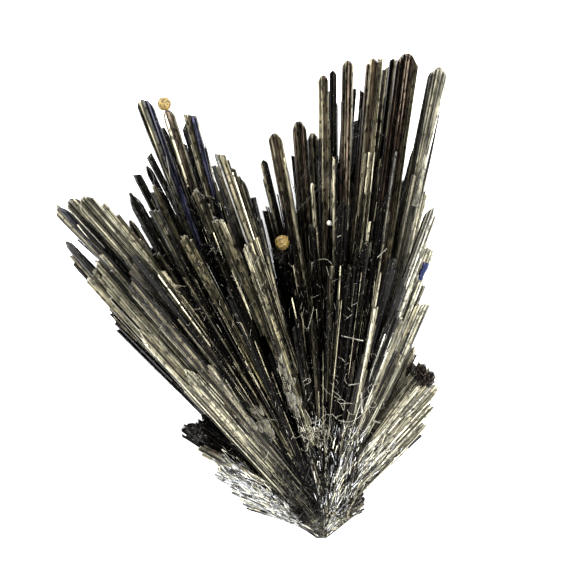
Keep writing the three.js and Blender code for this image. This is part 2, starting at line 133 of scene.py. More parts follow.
def set_up(tree: Tree, node: Node, settings: dict | None = None, links: dict | None = None) -> Node:
    """Gives a shader node its settings and incoming links.

    Args:
        tree: Node tree that the node is in.
        node: The node.
        settings: Values by attribute name, by input name or index in brackets such as "[Scale]", or under
            "stops" a colour ramp's positions and linear colours in order.
        links: What feeds each input, by the input's name or index: a socket, or a node for its first output.

    Returns:
        The node.
    """
    for name, value in (settings or {}).items():
        if name == "stops":
            elements = node.color_ramp.elements
            for position, colour in value[2:]:
                elements.new(position)
            for element, (position, colour) in zip(elements, value, strict=True):
                element.position = position
                element.color = (*colour, 1.0)
        elif name.startswith("["):
            key = name[1:-1]
            node.inputs[int(key) if key.isdigit() else key].default_value = value
        else:
            setattr(node, name, value)
    for key, source in (links or {}).items():
        socket = source.outputs[0] if isinstance(source, Node) else source
        tree.links.new(socket, node.inputs[key])
    return node


def add_node(tree: Tree, kind: str, settings: dict | None = None, links: dict | None = None) -> Node:
    """Adds a node of a kind, named without its "ShaderNode", with settings and links as in set_up."""
    return set_up(tree, tree.nodes.new(f"ShaderNode{kind}"), settings, links)


def select(*chosen: Piece) -> None:
    """Deselects everything else and makes the first chosen object the active one.

    Args:
        chosen: The objects to select, if any.
    """
    bpy.ops.object.select_all(action="DESELECT")
    for made in chosen:
        made.select_set(True)
    if chosen:
        bpy.context.view_layer.objects.active = chosen[0]


# ------------------------------------------------------------------ finishes


def new_material(name: str) -> tuple[Material, Tree, Node]:
    """Starts a material.

    Args:
        name: Name of the material.

    Returns:
        The material, its node tree and its shader.
    """
    made = bpy.data.materials.new(name)
    made.use_nodes = True
    return made, made.node_tree, made.node_tree.nodes["Principled BSDF"]


@dataclass(frozen=True)
class StriatedStibnite:
    """Grown faces of stibnite: soft grey metal with lengthwise striae, whose bright and dark lines are
    painted highlight and shade multiplied into its colour.
    """

    name: str = "stibnite grown striated faces"
    stria_mm: float = 0.17
    stria_length_mm: float = 22.0
    fine_mm: float = 0.08
    roughness: tuple[float, float] = (0.24, 0.48)
    metallic: float = 0.92
    relief_mm: float = 0.04
    dust: str = "#7d7868"
    dust_mm: float = 0.14
    painted_streak_range: tuple[float, float] = (0.15, 1.85)
    chip_mm: float = 0.3
    chip_shade: float = 0.15
    patch_mm: tuple[float, float] = (0.7, 2.0)

    @staticmethod
    def streaks(tree: Tree, width: float, length: float, detail: float) -> Node:
        """Cloudy streaks drawn out along a blade.

        Args:
            tree: Node tree of the material.
            width: Typical width of a streak in millimetres.
            length: Typical length of a streak in millimetres.
            detail: Octaves of finer detail.

        Returns:
            The node whose first output is the streaks' strength.
        """
        uv = add_node(tree, "UVMap", {"uv_map": "along"})
        stretch = add_node(tree, "Mapping", {"[Scale]": (1 / width, 1 / length, 1)}, {"Vector": uv})
        cloud = {"noise_dimensions": "2D", "[Scale]": 1.0, "[Detail]": detail}
        return add_node(tree, "TexNoise", cloud, {"Vector": stretch})

    def material(self) -> Material:
        """Builds the material, tinted by the "tint" attribute of each strip.

        Returns:
            The finished material.
        """
        made, tree, shader = new_material(self.name)
        tint = add_node(tree, "Attribute", {"attribute_name": "tint"})
        coarse = self.streaks(tree, self.stria_mm, self.stria_length_mm, 2.0)
        fine = self.streaks(tree, self.fine_mm, self.stria_length_mm / 4, 0.0)
        patches = self.streaks(tree, *self.patch_mm, 2.0)
        both = add_node(tree, "Math", {"operation": "MULTIPLY_ADD", "[1]": 0.4}, {0: fine, 2: coarse})
        # Painted highlight and shade: the striae's streaks scale the tint from far darker to far brighter
        # than the metal.
        darkest, brightest = self.painted_streak_range
        span = {"[From Min]": 0.54, "[From Max]": 0.84, "[To Min]": darkest, "[To Max]": brightest}
        light = add_node(tree, "MapRange", span, {"Value": both})
        span = {"[From Min]": 0.32, "[From Max]": 0.68, "[To Min]": 0.55, "[To Max]": 1.35}
        mottled = add_node(tree, "MapRange", span, {"Value": patches})
        uneven = add_node(tree, "Math", {"operation": "MULTIPLY"}, {0: light, 1: mottled})
        flakes = self.streaks(tree, self.chip_mm, self.chip_mm * 3, 1.0)
        span = {"[From Min]": 0.59, "[From Max]": 0.66, "[To Min]": 1.0, "[To Max]": self.chip_shade}
        chips = add_node(tree, "MapRange", span, {"Value": flakes})
        strength = add_node(tree, "Math", {"operation": "MULTIPLY"}, {0: uneven, 1: chips})
        toned = add_node(tree, "VectorMath", {"operation": "SCALE"}, {0: tint, "Scale": strength})
        place = add_node(tree, "TexCoord")
        cloud = {"[Scale]": 1 / (self.dust_mm * MM), "[Detail]": 0.0}
        grains = add_node(tree, "TexNoise", cloud, {"Vector": place.outputs["Object"]})
        dusty = add_node(tree, "MapRange", {"[From Min]": 0.75, "[From Max]": 0.85}, {"Value": grains})
        colour = {"data_type": "RGBA", "[7]": (*linear(self.dust), 1.0)}
        dusted = add_node(tree, "Mix", colour, {0: dusty, 6: toned})
        glossy, dull = self.roughness
        span = {"[To Min]": glossy, "[To Max]": dull}
        rough = add_node(tree, "MapRange", span, {"Value": patches})
        bare = add_node(tree, "MapRange", {"[To Min]": self.metallic, "[To Max]": 0.1}, {"Value": dusty})
        relief = {"[Strength]": 0.5, "[Distance]": self.relief_mm * MM}
        bump = add_node(tree, "Bump", relief, {"Height": coarse})
        feeds = {"Base Color": dusted.outputs[2], "Roughness": rough, "Metallic": bare, "Normal": bump}
        set_up(tree, shader, links=feeds)
        return made


@dataclass(frozen=True)
class GranularMineral:
    """A dull crust of fine grains, matt and mottled between two colours; the dark one lies in the relief's
    hollows as painted shade between the grains.
    """

    name: str
    light: str
    dark: str
    grain_mm: float = 0.22
    roughness: float = 0.6
    relief_mm: float = 0.06

    def material(self) -> Material:
        """Builds the material on the piece's own Object coordinates.

        Returns:
            The finished material.
        """
        made, tree, shader = new_material(self.name)
        place = add_node(tree, "TexCoord")
        cloud = {"[Scale]": 1 / (self.grain_mm * MM), "[Detail]": 3.0}
        noise = add_node(tree, "TexNoise", cloud, {"Vector": place.outputs["Object"]})
        # Painted shade: the dark colour goes where the noise, and so the bump, is low.
        stops = [(0.35, linear(self.dark)), (0.62, linear(self.light))]
        mottled = add_node(tree, "ValToRGB", {"stops": stops}, {"Fac": noise})
        relief = {"[Strength]": 0.7, "[Distance]": self.relief_mm * MM}
        bump = add_node(tree, "Bump", relief, {"Height": noise})
        set_up(tree, shader, {"[Roughness]": self.roughness}, {"Base Color": mottled, "Normal": bump})
        return made


@dataclass(frozen=True)
class PlainFinish:
    """One even colour, as on textile lint, a cleaved splinter or a studio floor."""

    name: str
    colour: str
    roughness: float = 0.6
    metallic: float = 0.0

    def material(self) -> Material:
        """Builds the material.

        Returns:
            The finished material.
        """
        made, tree, shader = new_material(self.name)
        settings = {"[Base Color]": (*linear(self.colour), 1.0), "[Metallic]": self.metallic}
        set_up(tree, shader, {**settings, "[Roughness]": self.roughness})
        return made


# ------------------------------------------------------------------ the fan's frame


@dataclass(frozen=True)
class Fan:
    """The spray's polar frame about the root point: fan angles from +Y to the left, reaches in mm."""

    root: np.ndarray
    low: np.ndarray
    high: np.ndarray

    @classmethod
    def from_frame(cls) -> "Fan":
        """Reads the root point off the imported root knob, and the spray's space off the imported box."""
        low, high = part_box("broken_root")
        middle = (np.array(low) + np.array(high)) / 2 / MM
        corners = np.array(CAD_BOUNDS) / MM
        point = np.array([middle[0] + ROOT_OFFSET[0], middle[1] + ROOT_OFFSET[1], 0.0])
        return cls(point, corners[0], corners[1])

    @staticmethod
    def direction(angle: float) -> np.ndarray:
        """A level unit vector at a fan angle in degrees."""
        return np.array([-math.sin(math.radians(angle)), math.cos(math.radians(angle)), 0.0])

    def point(self, angle: float, reach: float, height: float) -> np.ndarray:
        """The point in millimetres at a fan angle, reach and height."""
        return self.root + self.direction(angle) * reach + np.array([0.0, 0.0, height])

    def apex(self) -> np.ndarray:
        """The lowest broken point of the root, that its fibres run out from, in millimetres."""
        return self.root + np.array(APEX_OFFSET)


FAN = Fan.from_frame()


# ------------------------------------------------------------------ blades


@dataclass(frozen=True)
class Blade:
    """A leading blade, placed by its tip.

    Lengths are in millimetres. The strips are its lengthwise bands from left to right, one tone letter each.
    """

    angle: float
    reach: float
    rise: float
    lean: float
    share: float
    width: float
    end: End
    strips: str

    def foot_height(self) -> float:
        """The height of the blade's line above the root point."""
        return FOOT_LOW + FOOT_GAIN * self.rise

    def line(self, reach: float) -> float:
        """The height of the blade's line at a reach."""
        return self.foot_height() + (self.rise - self.foot_height()) * reach / self.reach

    def ends(self) -> tuple[np.ndarray, np.ndarray]:
        """The foot and the tip of the blade."""
        tip = FAN.point(self.angle, self.reach, self.rise)
        foot = tip - FAN.direction(self.angle + self.lean) * self.reach
        foot[2] = self.foot_height()
        return tip + (foot - tip) * self.share, tip


@dataclass(frozen=True)
class Mould:
    """A strip of unit size along +Y, copied as needed. Its body ends at BODY_SHARE and its end at 1."""

    points: np.ndarray
    faces: list[tuple[int, ...]]


Moulds = dict[End, Mould]


@dataclass(frozen=True)
class MouldMaker:
    """Models the strip that all blades are copied from, for each kind of end."""

    sides: int = 6
    rings: tuple[float, ...] = (0.15, 0.3, 0.45, 0.6, 0.75)
    end_steps: dict[End, tuple[tuple[float, float, float], ...]] = field(
        default_factory=lambda: {
            POINT: ((0.1, 0.7, 0.3),),
            CHISEL: ((0.1, 0.96, 0.42),),
            BLUNT: ((0.05, 0.97, 0.82), (0.05, 0.9, 0.55)),
            BROKEN: ((0.1, 0.97, 0.86),),
        }
    )

    def make(self, end: End) -> Mould:
        """Models one strip from a prism: cuts rings across it and draws its end out in steps.

        Args:
            end: How the strip ends.

        Returns:
            The strip's points and faces.
        """
        select()
        bpy.ops.mesh.primitive_cylinder_add(
            vertices=self.sides,
            radius=0.5,
            depth=BODY_SHARE,
            location=(0, BODY_SHARE / 2, 0),
            rotation=(-math.pi / 2, 0, 0),
        )
        bpy.ops.object.transform_apply(location=True, rotation=True, scale=True)
        strip = bpy.context.object
        bpy.ops.object.mode_set(mode="EDIT")
        for ring in self.rings:
            bpy.ops.mesh.select_all(action="SELECT")
            bpy.ops.mesh.bisect(plane_co=(0, ring, 0), plane_no=(0, 1, 0))
        bpy.ops.mesh.select_all(action="DESELECT")
        bpy.ops.mesh.select_mode(type="FACE")
        bpy.ops.object.mode_set(mode="OBJECT")
        for face in strip.data.polygons:
            face.select = face.normal.y > 0.9
        bpy.ops.object.mode_set(mode="EDIT")
        for step, across, through in self.end_steps[end]:
            bpy.ops.mesh.extrude_region_move(TRANSFORM_OT_translate={"value": (0, step, 0)})
            bpy.ops.transform.resize(value=(across, 1, through))
        bpy.ops.object.mode_set(mode="OBJECT")
        points = np.array([vertex.co for vertex in strip.data.vertices])
        # Sorted, because an extrude lists its new faces in an order that changes from run to run.
        faces = sorted(tuple(face.vertices) for face in strip.data.polygons)
        bpy.data.objects.remove(strip)
        return Mould(points, faces)

    def make_all(self) -> Moulds:
        """Models one strip for each kind of end."""
        return {end: self.make(end) for end in End}


@dataclass(frozen=True)
class Strip:
    """One lengthwise strip of crystal, from its foot to its tip, in millimetres.

    The tone is a letter. The roll turns the strip about its own line in degrees. The slant is how far its end
    runs on per millimetre across, the bend its sideways bow as a share of its length, and the foot share its
    width at the foot as a share of its width at the tip.
    """

    foot: np.ndarray
    tip: np.ndarray
    width: float
    depth: float
    end: End
    tone: str
    roll: float = 0.0
    slant: float = 0.0
    bend: float = 0.0
    foot_share: float = FOOT_SHARE


@dataclass
class StripBed:
    """Strips copied into one mesh, each with its own size, tint and place on the UV map.

    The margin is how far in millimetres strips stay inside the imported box, the full share where along its
    length a strip reaches its full width, the wobble how much that width varies, the shades how much its tint
    varies, and pattern_mm how far apart strips may lie on the UV map.
    """

    random: np.random.Generator
    points: list[np.ndarray] = field(default_factory=list)
    faces: list[tuple[int, ...]] = field(default_factory=list)
    along: list[np.ndarray] = field(default_factory=list)
    tints: list[np.ndarray] = field(default_factory=list)
    count: int = 0
    margin: float = 0.01
    full_share: float = 0.7
    wobble: float = 0.05
    shades: tuple[float, float] = (0.75, 1.25)
    pattern_mm: float = 60

    def lay(self, moulds: Moulds, strip: Strip) -> None:
        """Lays one strip.

        Args:
            moulds: The strips to copy.
            strip: The strip's place, size and look.
        """
        mould = moulds[strip.end]
        x, y, z = mould.points.T
        span = strip.tip - strip.foot
        length = float(np.linalg.norm(span))
        forward = span / length
        across = np.cross(forward, (0.0, 0.0, 1.0))
        across /= np.linalg.norm(across)
        upward = np.cross(across, forward)
        end_length = min(strip.end.value * strip.width * self.random.uniform(0.8, 1.2), 0.4 * length)
        body = length - end_length
        past = (y - BODY_SHARE) / (1 - BODY_SHARE) * end_length
        run = np.where(y <= BODY_SHARE, y / BODY_SHARE * body, body + past)
        run = np.where(y > BODY_SHARE - 0.01, run + strip.slant * x * strip.width, run)
        rings, ring = np.unique(y.round(3), return_inverse=True)
        swell = strip.foot_share + (1 - strip.foot_share) * np.clip(run / (self.full_share * length), 0, 1)
        swell = swell * (1 + self.random.normal(0, self.wobble, len(rings)))[ring]
        turn = math.radians(strip.roll)
        side = (x * math.cos(turn) * strip.width + z * math.sin(turn) * strip.depth) * swell
        lift = (z * math.cos(turn) * strip.depth - x * math.sin(turn) * strip.width) * swell
        side = side + strip.bend * length * (run / length) ** 2
        placed = strip.foot + np.outer(run, forward) + np.outer(side, across) + np.outer(lift, upward)
        placed = np.clip(placed, FAN.low + self.margin, FAN.high - self.margin)
        self.faces.extend(tuple(i + self.count for i in face) for face in mould.faces)
        self.count += len(placed)
        self.points.append(placed)
        shift = self.random.uniform(0, self.pattern_mm, 2)
        sideways = x * strip.width + 0.6 * z * strip.depth + shift[0]
        self.along.append(np.column_stack((sideways, run + shift[1])))
        tint = TINTS[strip.tone] * self.random.uniform(*self.shades)
        self.tints.append(np.tile((*tint, 1.0), (len(placed), 1)))

    def piece(self, name: str, material: Material) -> Piece:
        """Turns the laid strips into one object.

        Args:
            name: Name of the object.
            material: Its material.

        Returns:
            The new object, at the origin.
        """
        mesh = bpy.data.meshes.new(name)
        mesh.from_pydata(np.concatenate(self.points) * MM, [], self.faces)
        loops = np.empty(len(mesh.loops), dtype=np.int32)
        mesh.loops.foreach_get("vertex_index", loops)
        along = mesh.uv_layers.new(name="along")
        along.uv.foreach_set("vector", np.concatenate(self.along)[loops].astype(np.float32).ravel())
        tint = mesh.color_attributes.new("tint", "FLOAT_COLOR", "POINT")
        tint.data.foreach_set("color", np.concatenate(self.tints).astype(np.float32).ravel())
        mesh.materials.append(material)
        mesh.update()
        made = bpy.data.objects.new(name, mesh)
        bpy.context.scene.collection.objects.link(made)
        return made


# ------------------------------------------------------------------ sheaves

# A row a blade: its fan angle, reach, rise, lean, share, width, end and strips.
# Rows whose strips are nearly all black and umber, most of them low, are painted shade in the deep gaps
# between and under the leading blades.
BLADES: dict[str, list[tuple]] = {
    "silver_flake_sheaf": [
        (68.3, 14.1, 7, -6.3, 1, 1.7, BROKEN, "iwipl"),
        (73.5, 12.6, 6, -9, 1, 1.7, BROKEN, "iwliwp"),
        (79.5, 10.8, 4, -12, 1, 1.5, BROKEN, "lpwlk"),
        (84, 10.1, 2.2, -14, 1, 0.8, BROKEN, "kt"),
        (86.5, 8.2, 1.6, -16, 1, 0.8, BROKEN, "ku"),
        (75, 10.5, 1.2, -8, 1, 1.4, BROKEN, "uub"),
    ],
    "tan_stub_sheaf": [
        (62.4, 17.5, 7.6, -1.6, 1, 1.3, BROKEN, "tptn"),
        (64.1, 15.5, 7.2, -3, 1, 1.2, BROKEN, "ptp"),
        (63.4, 13.8, 7.5, -1, 1, 1.2, BROKEN, "utk"),
        (63.2, 15, 1.5, 0, 1, 1.3, BROKEN, "ub"),
    ],
    "dark_stub_sheaf": [
        (59.6, 20.3, 6.4, -4, 0.6, 1.4, BROKEN, "blubul"),
        (57.2, 19.8, 7.5, -3, 0.8, 1.3, BLUNT, "bub"),
        (54.2, 19.2, 8, -0.2, 1, 1.3, BROKEN, "ubulb"),
        (51.6, 19.0, 6, 0.5, 1, 1.2, BLUNT, "bu"),
        (55.5, 18.6, 4.5, -1, 1, 1.6, BROKEN, "bbu"),
        (55, 17.8, 1.4, 0, 1, 1.9, BROKEN, "bbb"),
    ],
    "left_under_sheaf": [
        (46.8, 36.2, 3.6, -2.4, 1, 1.5, BROKEN, "bubb"),
        (47.8, 34.2, 2.6, -3, 1, 1.4, BROKEN, "bbub"),
        (47.2, 35, 4.4, -2.4, 0.24, 0.12, CHISEL, "p"),
        (48.6, 25, 2.1, -2.6, 1, 1.1, BROKEN, "bb"),
        (47.2, 33, 0.7, -0.3, 1, 1.4, BROKEN, "bb"),
        (47.6, 24, 6, 0, 1, 1, BROKEN, "ub"),
    ],
    "left_outer_sheaf": [
        (40.7, 48.8, 15, 1.3, 0.9, 1.3, POINT, "lku"),
        (41.0, 48.5, 15.5, 1.3, 0.16, 1.1, BLUNT, "ltlv"),
        (38.9, 48.6, 13, 3.8, 0.6, 1.7, BLUNT, "ptptk"),
        (37.2, 47.6, 17, 3.2, 0.7, 2.1, BLUNT, "tpktpkp"),
        (35.7, 46.0, 14, 3.2, 0.8, 1.8, BROKEN, "ttptk"),
        (43.5, 45.5, 8.5, -2.3, 1, 0.9, POINT, "lu"),
        (44.6, 44.2, 5.5, -3.4, 1, 1.1, BROKEN, "ukl"),
        (40.4, 46.9, 9, 1.5, 0.8, 0.8, CHISEL, "ul"),
        (41.6, 41.0, 17.5, -1.2, 1, 2.1, BROKEN, "tpttkpt"),
        (44.2, 40.2, 12, -3.0, 1, 1.7, BROKEN, "tptktp"),
        (37.6, 41.5, 14, 0.8, 1, 1.3, BROKEN, "ulu"),
        (39.6, 37, 18.6, 0, 0.8, 1.5, BROKEN, "kuku"),
        (37.6, 38.6, 16.2, 0.8, 0.12, 1.4, BROKEN, "nkn"),
        (40.5, 19.4, 12.6, -2, 0.25, 1.4, BROKEN, "nkn"),
        (43.2, 37.4, 15.4, -1.6, 1, 1.6, BROKEN, "ptktp"),
        (44.6, 31.5, 15, -3.3, 0.9, 1.5, POINT, "ptkp"),
        (43.4, 24.4, 14.4, -3.6, 0.8, 1.3, POINT, "tptp"),
        (37.4, 22.8, 15.2, -2.2, 0.4, 0.8, BROKEN, "ktk"),
        (36.2, 39, 17, 0.6, 0.6, 0.8, BROKEN, "ub"),
        (40.5, 44.5, 0.6, 0, 1, 1.7, BLUNT, "bbu"),
        (37.5, 40, 4.5, 0, 1, 1.6, BLUNT, "ubb"),
        (43, 40, 3, 0, 1, 1.6, BLUNT, "bub"),
    ],
    "left_inner_sheaf": [
        (31.2, 45.2, 10, -2.8, 0.9, 1.3, POINT, "lul"),
        (29.0, 47, 7.5, -2.1, 0.9, 0.9, CHISEL, "lu"),
        (33.7, 42.8, 6, -2.8, 0.9, 0.8, POINT, "uk"),
        (29.1, 41.9, 15, -2.4, 1, 1.2, BROKEN, "lkl"),
        (34.4, 34.9, 18.5, 1.2, 0.3, 0.2, POINT, "t"),
        (33.3, 35.1, 17, 3.2, 0.6, 0.5, BROKEN, "kk"),
        (32.4, 37.5, 13.5, 0, 1, 1.3, BROKEN, "uku"),
        (30.6, 33, 17.4, 0, 1, 1.4, BROKEN, "ubku"),
        (31.2, 42, 0.7, 0, 1, 1.6, BLUNT, "bb"),
        (33, 36, 4, 0, 1, 1.5, BLUNT, "bb"),
    ],
    "tall_left_sheaf": [
        (23.6, 54.1, 14, -3.6, 0.62, 1.6, BLUNT, "lkvv"),
        (23.8, 54.2, 14.6, -3.6, 0.24, 1.35, BLUNT, "ltlv"),
        (21.3, 52.1, 11, -3.5, 0.62, 1.25, BLUNT, "tmk"),
        (18.6, 50.8, 13, -3.8, 0.62, 1.4, CHISEL, "kkuv"),
        (18.2, 50.2, 13.5, -3.8, 0.2, 0.5, CHISEL, "v"),
        (22.8, 50.5, 8, 1.3, 0.6, 0.6, POINT, "b"),
        (26.1, 48.3, 9, 1.4, 0.8, 0.75, CHISEL, "lu"),
        (27.1, 47.3, 8, -0.2, 0.8, 0.75, POINT, "ul"),
        (27.4, 44.8, 13, -2.2, 1, 1.2, BROKEN, "uku"),
        (26.5, 37.5, 20, 1.2, 0.62, 1.25, BROKEN, "kttkt"),
        (21.2, 41.4, 17, -0.2, 1, 1.6, BROKEN, "lkuku"),
        (21.4, 41.8, 18, -0.2, 0.13, 1.6, BROKEN, "tktukt"),
        (19.3, 37.6, 21.2, 3.4, 0.5, 1.3, BROKEN, "tktk"),
        (20.2, 38, 20.4, 2, 0.4, 0.9, BROKEN, "klt"),
        (20.6, 31.4, 20, 1.3, 0.2, 0.12, CHISEL, "t"),
        (24, 36, 16.4, 0, 1, 1.5, BROKEN, "ubbu"),
        (22.6, 30, 19.4, 0, 1, 1.3, BROKEN, "bub"),
        (27.1, 20.9, 15.4, 0.9, 0.3, 0.12, CHISEL, "t"),
        (23, 46, 0.7, 0, 1, 1.8, BLUNT, "bbb"),
        (19.8, 42, 4.5, 0, 1, 1.6, BLUNT, "bb"),
        (26, 40, 4, 0, 1, 1.6, BLUNT, "bb"),
        (21.4, 48.4, 3.6, 0, 1, 1.3, BLUNT, "bu"),
        (19.6, 50, 6.6, -2, 1, 1.3, BLUNT, "bb"),
        (23.6, 51.2, 10, -2.4, 1, 1.3, BLUNT, "bu"),
    ],
    "ridge_sheaf": [
        (17.3, 44.6, 15, 1.2, 0.8, 1, BROKEN, "lk"),
        (16.2, 44.9, 19, 2.8, 0.8, 1.1, CHISEL, "lkt"),
        (15.3, 43.9, 18, 2.8, 0.8, 1, BROKEN, "kuk"),
        (14.2, 41.7, 16, 3, 0.8, 1, POINT, "ukl"),
        (12.8, 39.2, 12, 0.8, 1, 0.7, BROKEN, "b"),
        (16, 34.1, 22.1, 2.6, 0.75, 1.2, BROKEN, "tptk"),
        (14, 34.4, 20.2, 4, 0.55, 0.4, BROKEN, "kt"),
        (13.2, 33, 19, 0.8, 1, 1.0, BROKEN, "kuk"),
        (14.4, 36, 0.8, 0, 1, 1.6, BLUNT, "bb"),
        (16, 38, 6, 0, 1, 1.5, BLUNT, "bb"),
    ],
    "notch_sheaf": [
        (11.2, 37.3, 9, 2.4, 0.8, 0.45, BROKEN, "b"),
        (9.9, 43.2, 10, 3.8, 0.8, 0.85, BLUNT, "ku"),
        (7.6, 46.1, 13, 3.5, 0.9, 1.5, BLUNT, "mkmkt"),
        (3.9, 47.3, 12, 0.7, 1, 1.55, BLUNT, "mkumk"),
        (5.0, 43.5, 9, 1, 0.9, 0.5, BROKEN, "b"),
        (1.8, 46, 8, 0.4, 0.9, 1.3, BLUNT, "lkk"),
        (9.4, 31, 12.5, 1.5, 1, 1.2, BROKEN, "bbb"),
        (6.6, 43.1, 13.6, 3.1, 0.7, 0.3, CHISEL, "k"),
        (2.3, 39.8, 16, 1.9, 0.85, 0.5, POINT, "tk"),
        (2.6, 35, 16, 0.6, 1, 0.8, POINT, "bu"),
        (6.4, 28, 15, 1, 1, 1.3, BROKEN, "bub"),
        (8.7, 26.4, 16.4, 4, 0.4, 0.11, CHISEL, "t"),
        (4.8, 21.8, 15.2, 3.6, 0.4, 0.1, CHISEL, "t"),
        (8.6, 24, 17.4, 0, 1, 1.0, BROKEN, "lbu"),
        (4, 24, 16.4, 0, 1, 1.0, BROKEN, "bku"),
        (6, 36, 0.8, 0, 1, 1.7, BLUNT, "bbb"),
        (3.4, 40, 3.5, 0, 1, 1.5, BLUNT, "bb"),
        (9, 33, 5, 0, 1, 1.4, BLUNT, "bb"),
    ],
    "right_tall_sheaf": [
        (0.3, 52.5, 15, 0.5, 0.9, 1.2, BLUNT, "ttmt"),
        (-1, 53.2, 12, 1, 0.9, 0.8, BLUNT, "bu"),
        (-0.8, 51.2, 9, 1, 0.9, 1.5, BROKEN, "ubu"),
        (-1.4, 42.8, 15, 1.3, 0.5, 0.45, BROKEN, "tk"),
        (-2.8, 54.3, 15, 1.8, 0.9, 1.3, BLUNT, "mtmk"),
        (-4.0, 51.3, 10, -0.8, 0.8, 0.4, POINT, "b"),
        (-6, 54.9, 19, 1.4, 1, 1.8, BROKEN, "mtmkt"),
        (-5.2, 51, 12, 1.2, 1, 0.9, BROKEN, "bu"),
        (-7.8, 54.2, 15, 1.8, 0.9, 1.2, BROKEN, "uku"),
        (-8.6, 54.9, 18, 2.4, 0.9, 1.2, BROKEN, "uku"),
        (-7.4, 52, 14.6, 1.6, 1, 1.4, BROKEN, "bub"),
        (-9.9, 55.5, 20.8, 2.6, 1, 2.4, BLUNT, "mmummmtt"),
        (-6.9, 43.8, 18, 1.2, 0.55, 0.4, BROKEN, "tk"),
        (-6.1, 43.5, 17.2, 0.9, 0.8, 0.34, CHISEL, "k"),
        (-8.4, 35.4, 18.8, 0.4, 0.5, 0.26, BROKEN, "t"),
        (-7.6, 43.7, 17.2, 2, 0.3, 0.1, CHISEL, "p"),
        (-10.7, 44.1, 19.4, 3, 0.7, 0.34, CHISEL, "l"),
        (-3.4, 30, 17, 1.4, 0.6, 0.2, CHISEL, "t"),
        (-3.2, 38, 18.4, 0.6, 1, 1.1, BROKEN, "bub"),
        (-5.4, 30, 19, 0, 1, 1.2, BROKEN, "bub"),
        (-8, 33, 19, 0.6, 1, 1.2, BROKEN, "bbu"),
        (-10.4, 36, 16.4, 1, 1, 1.3, BROKEN, "bub"),
        (-1.4, 30, 16.6, 0, 1, 1.1, BROKEN, "bkb"),
        (-5, 48, 0.7, 0, 1, 1.9, BLUNT, "bbb"),
        (-9.4, 46, 4.5, 0, 1, 1.7, BLUNT, "bb"),
        (-1.2, 44, 4, 0, 1, 1.6, BLUNT, "bb"),
        (-8.4, 50.4, 7.4, 0, 1, 1.4, BLUNT, "bb"),
        (-3.2, 48.6, 3.8, 0, 1, 1.2, BLUNT, "bb"),
        (-9.6, 53.4, 13, 1, 1, 1.2, BLUNT, "bu"),
        (-6.2, 51.6, 10.6, 0, 1, 1.4, BLUNT, "bb"),
    ],
    "far_right_blade_sheaf": [
        (-14.2, 55, 17, 2.7, 1, 2.3, BLUNT, "ktppppwp"),
        (-14.3, 54.9, 17.7, 2.7, 0.3, 1.9, BLUNT, "lpppwpw"),
        (-17, 40.6, 12, 4, 0.8, 0.9, BROKEN, "ukp"),
        (-14.4, 42, 16, 3.2, 0.9, 0.4, BROKEN, "k"),
        (-13.4, 40, 12.5, 1, 1, 1, BROKEN, "bbu"),
        (-14.8, 32, 16.2, 0, 1, 1.2, BROKEN, "bub"),
        (-13.2, 26, 16.6, 3, 0.8, 0.6, BROKEN, "kt"),
        (-12.5, 29.8, 18.4, 4, 0.3, 0.14, BROKEN, "t"),
        (-13.3, 25.6, 17.4, 3, 0.5, 0.45, BROKEN, "pt"),
        (-14.4, 42, 0.7, 0, 1, 1.5, BLUNT, "bb"),
        (-15.6, 43, 6, 0, 1, 1.2, BLUNT, "bb"),
        (-14.4, 45.6, 3.6, 0, 1, 1.2, BLUNT, "bb"),
        (-14.6, 49, 8.6, 0.6, 1, 1.2, BLUNT, "bb"),
        (-14.6, 52.4, 12.8, 1.6, 1, 1.2, BLUNT, "bu"),
    ],
    "right_flank_sheaf": [
        (-19, 39.1, 18, -0.7, 1, 1.3, POINT, "upwwp"),
        (-20.9, 34.7, 14, 0.8, 1, 1.6, CHISEL, "wpwpw"),
        (-21.6, 32.6, 14.7, 0.8, 0.07, 0.7, BROKEN, "ss"),
        (-24.8, 28.2, 12, 2, 1, 1.5, CHISEL, "tpwpw"),
        (-28, 23, 10, 4, 0.9, 0.9, POINT, "kt"),
        (-22.6, 30.5, 9, 1, 1, 1.2, BROKEN, "ukt"),
        (-18.2, 30, 18.4, 0, 0.8, 0.9, BROKEN, "bub"),
        (-20.2, 26, 17.4, 0, 1, 1.3, BROKEN, "bupk"),
        (-24.4, 22, 14.2, 0, 1, 1.3, BROKEN, "uktp"),
        (-21.6, 29, 0.7, 0, 1, 1.7, BLUNT, "bbb"),
        (-26, 20, 4, 0, 1, 1.4, BLUNT, "bb"),
        (-19.4, 27, 5, 0, 1, 1.4, BLUNT, "bb"),
    ],
    "lower_right_tuft": [
        (-30.8, 21, 9, -4.6, 1, 1.2, BLUNT, "kub"),
        (-33.8, 21.4, 11, -4.4, 1, 1.4, BLUNT, "kpkb"),
        (-33.4, 21.7, 11.5, -4.4, 0.09, 1.6, BLUNT, "bnbnb"),
        (-30.4, 21.1, 9.5, -4.6, 0.07, 1.2, BLUNT, "bnb"),
        (-37.2, 21.3, 12, -2.8, 1, 1.4, BLUNT, "tptp"),
        (-37.0, 21.5, 12.5, -2.8, 0.08, 1.5, BLUNT, "nbnb"),
        (-40.6, 20.5, 10, -0.6, 1, 1.5, BLUNT, "pwptp"),
        (-44.4, 18.5, 7, 2.5, 1, 1.3, CHISEL, "wpp"),
        (-47.8, 16.3, 5, 4.8, 1, 1.2, CHISEL, "ptp"),
        (-35.6, 19, 14, -2, 1, 1.2, BROKEN, "tpk"),
        (-40, 16.5, 12.5, 0, 1, 1.3, BROKEN, "tptp"),
        (-38, 17.5, 1, 0, 1, 1.5, BROKEN, "bb"),
        (-34, 17, 4, 0, 1, 1.5, BLUNT, "bb"),
        (-43, 13, 2.5, 1, 1, 1.2, BROKEN, "bb"),
    ],
}


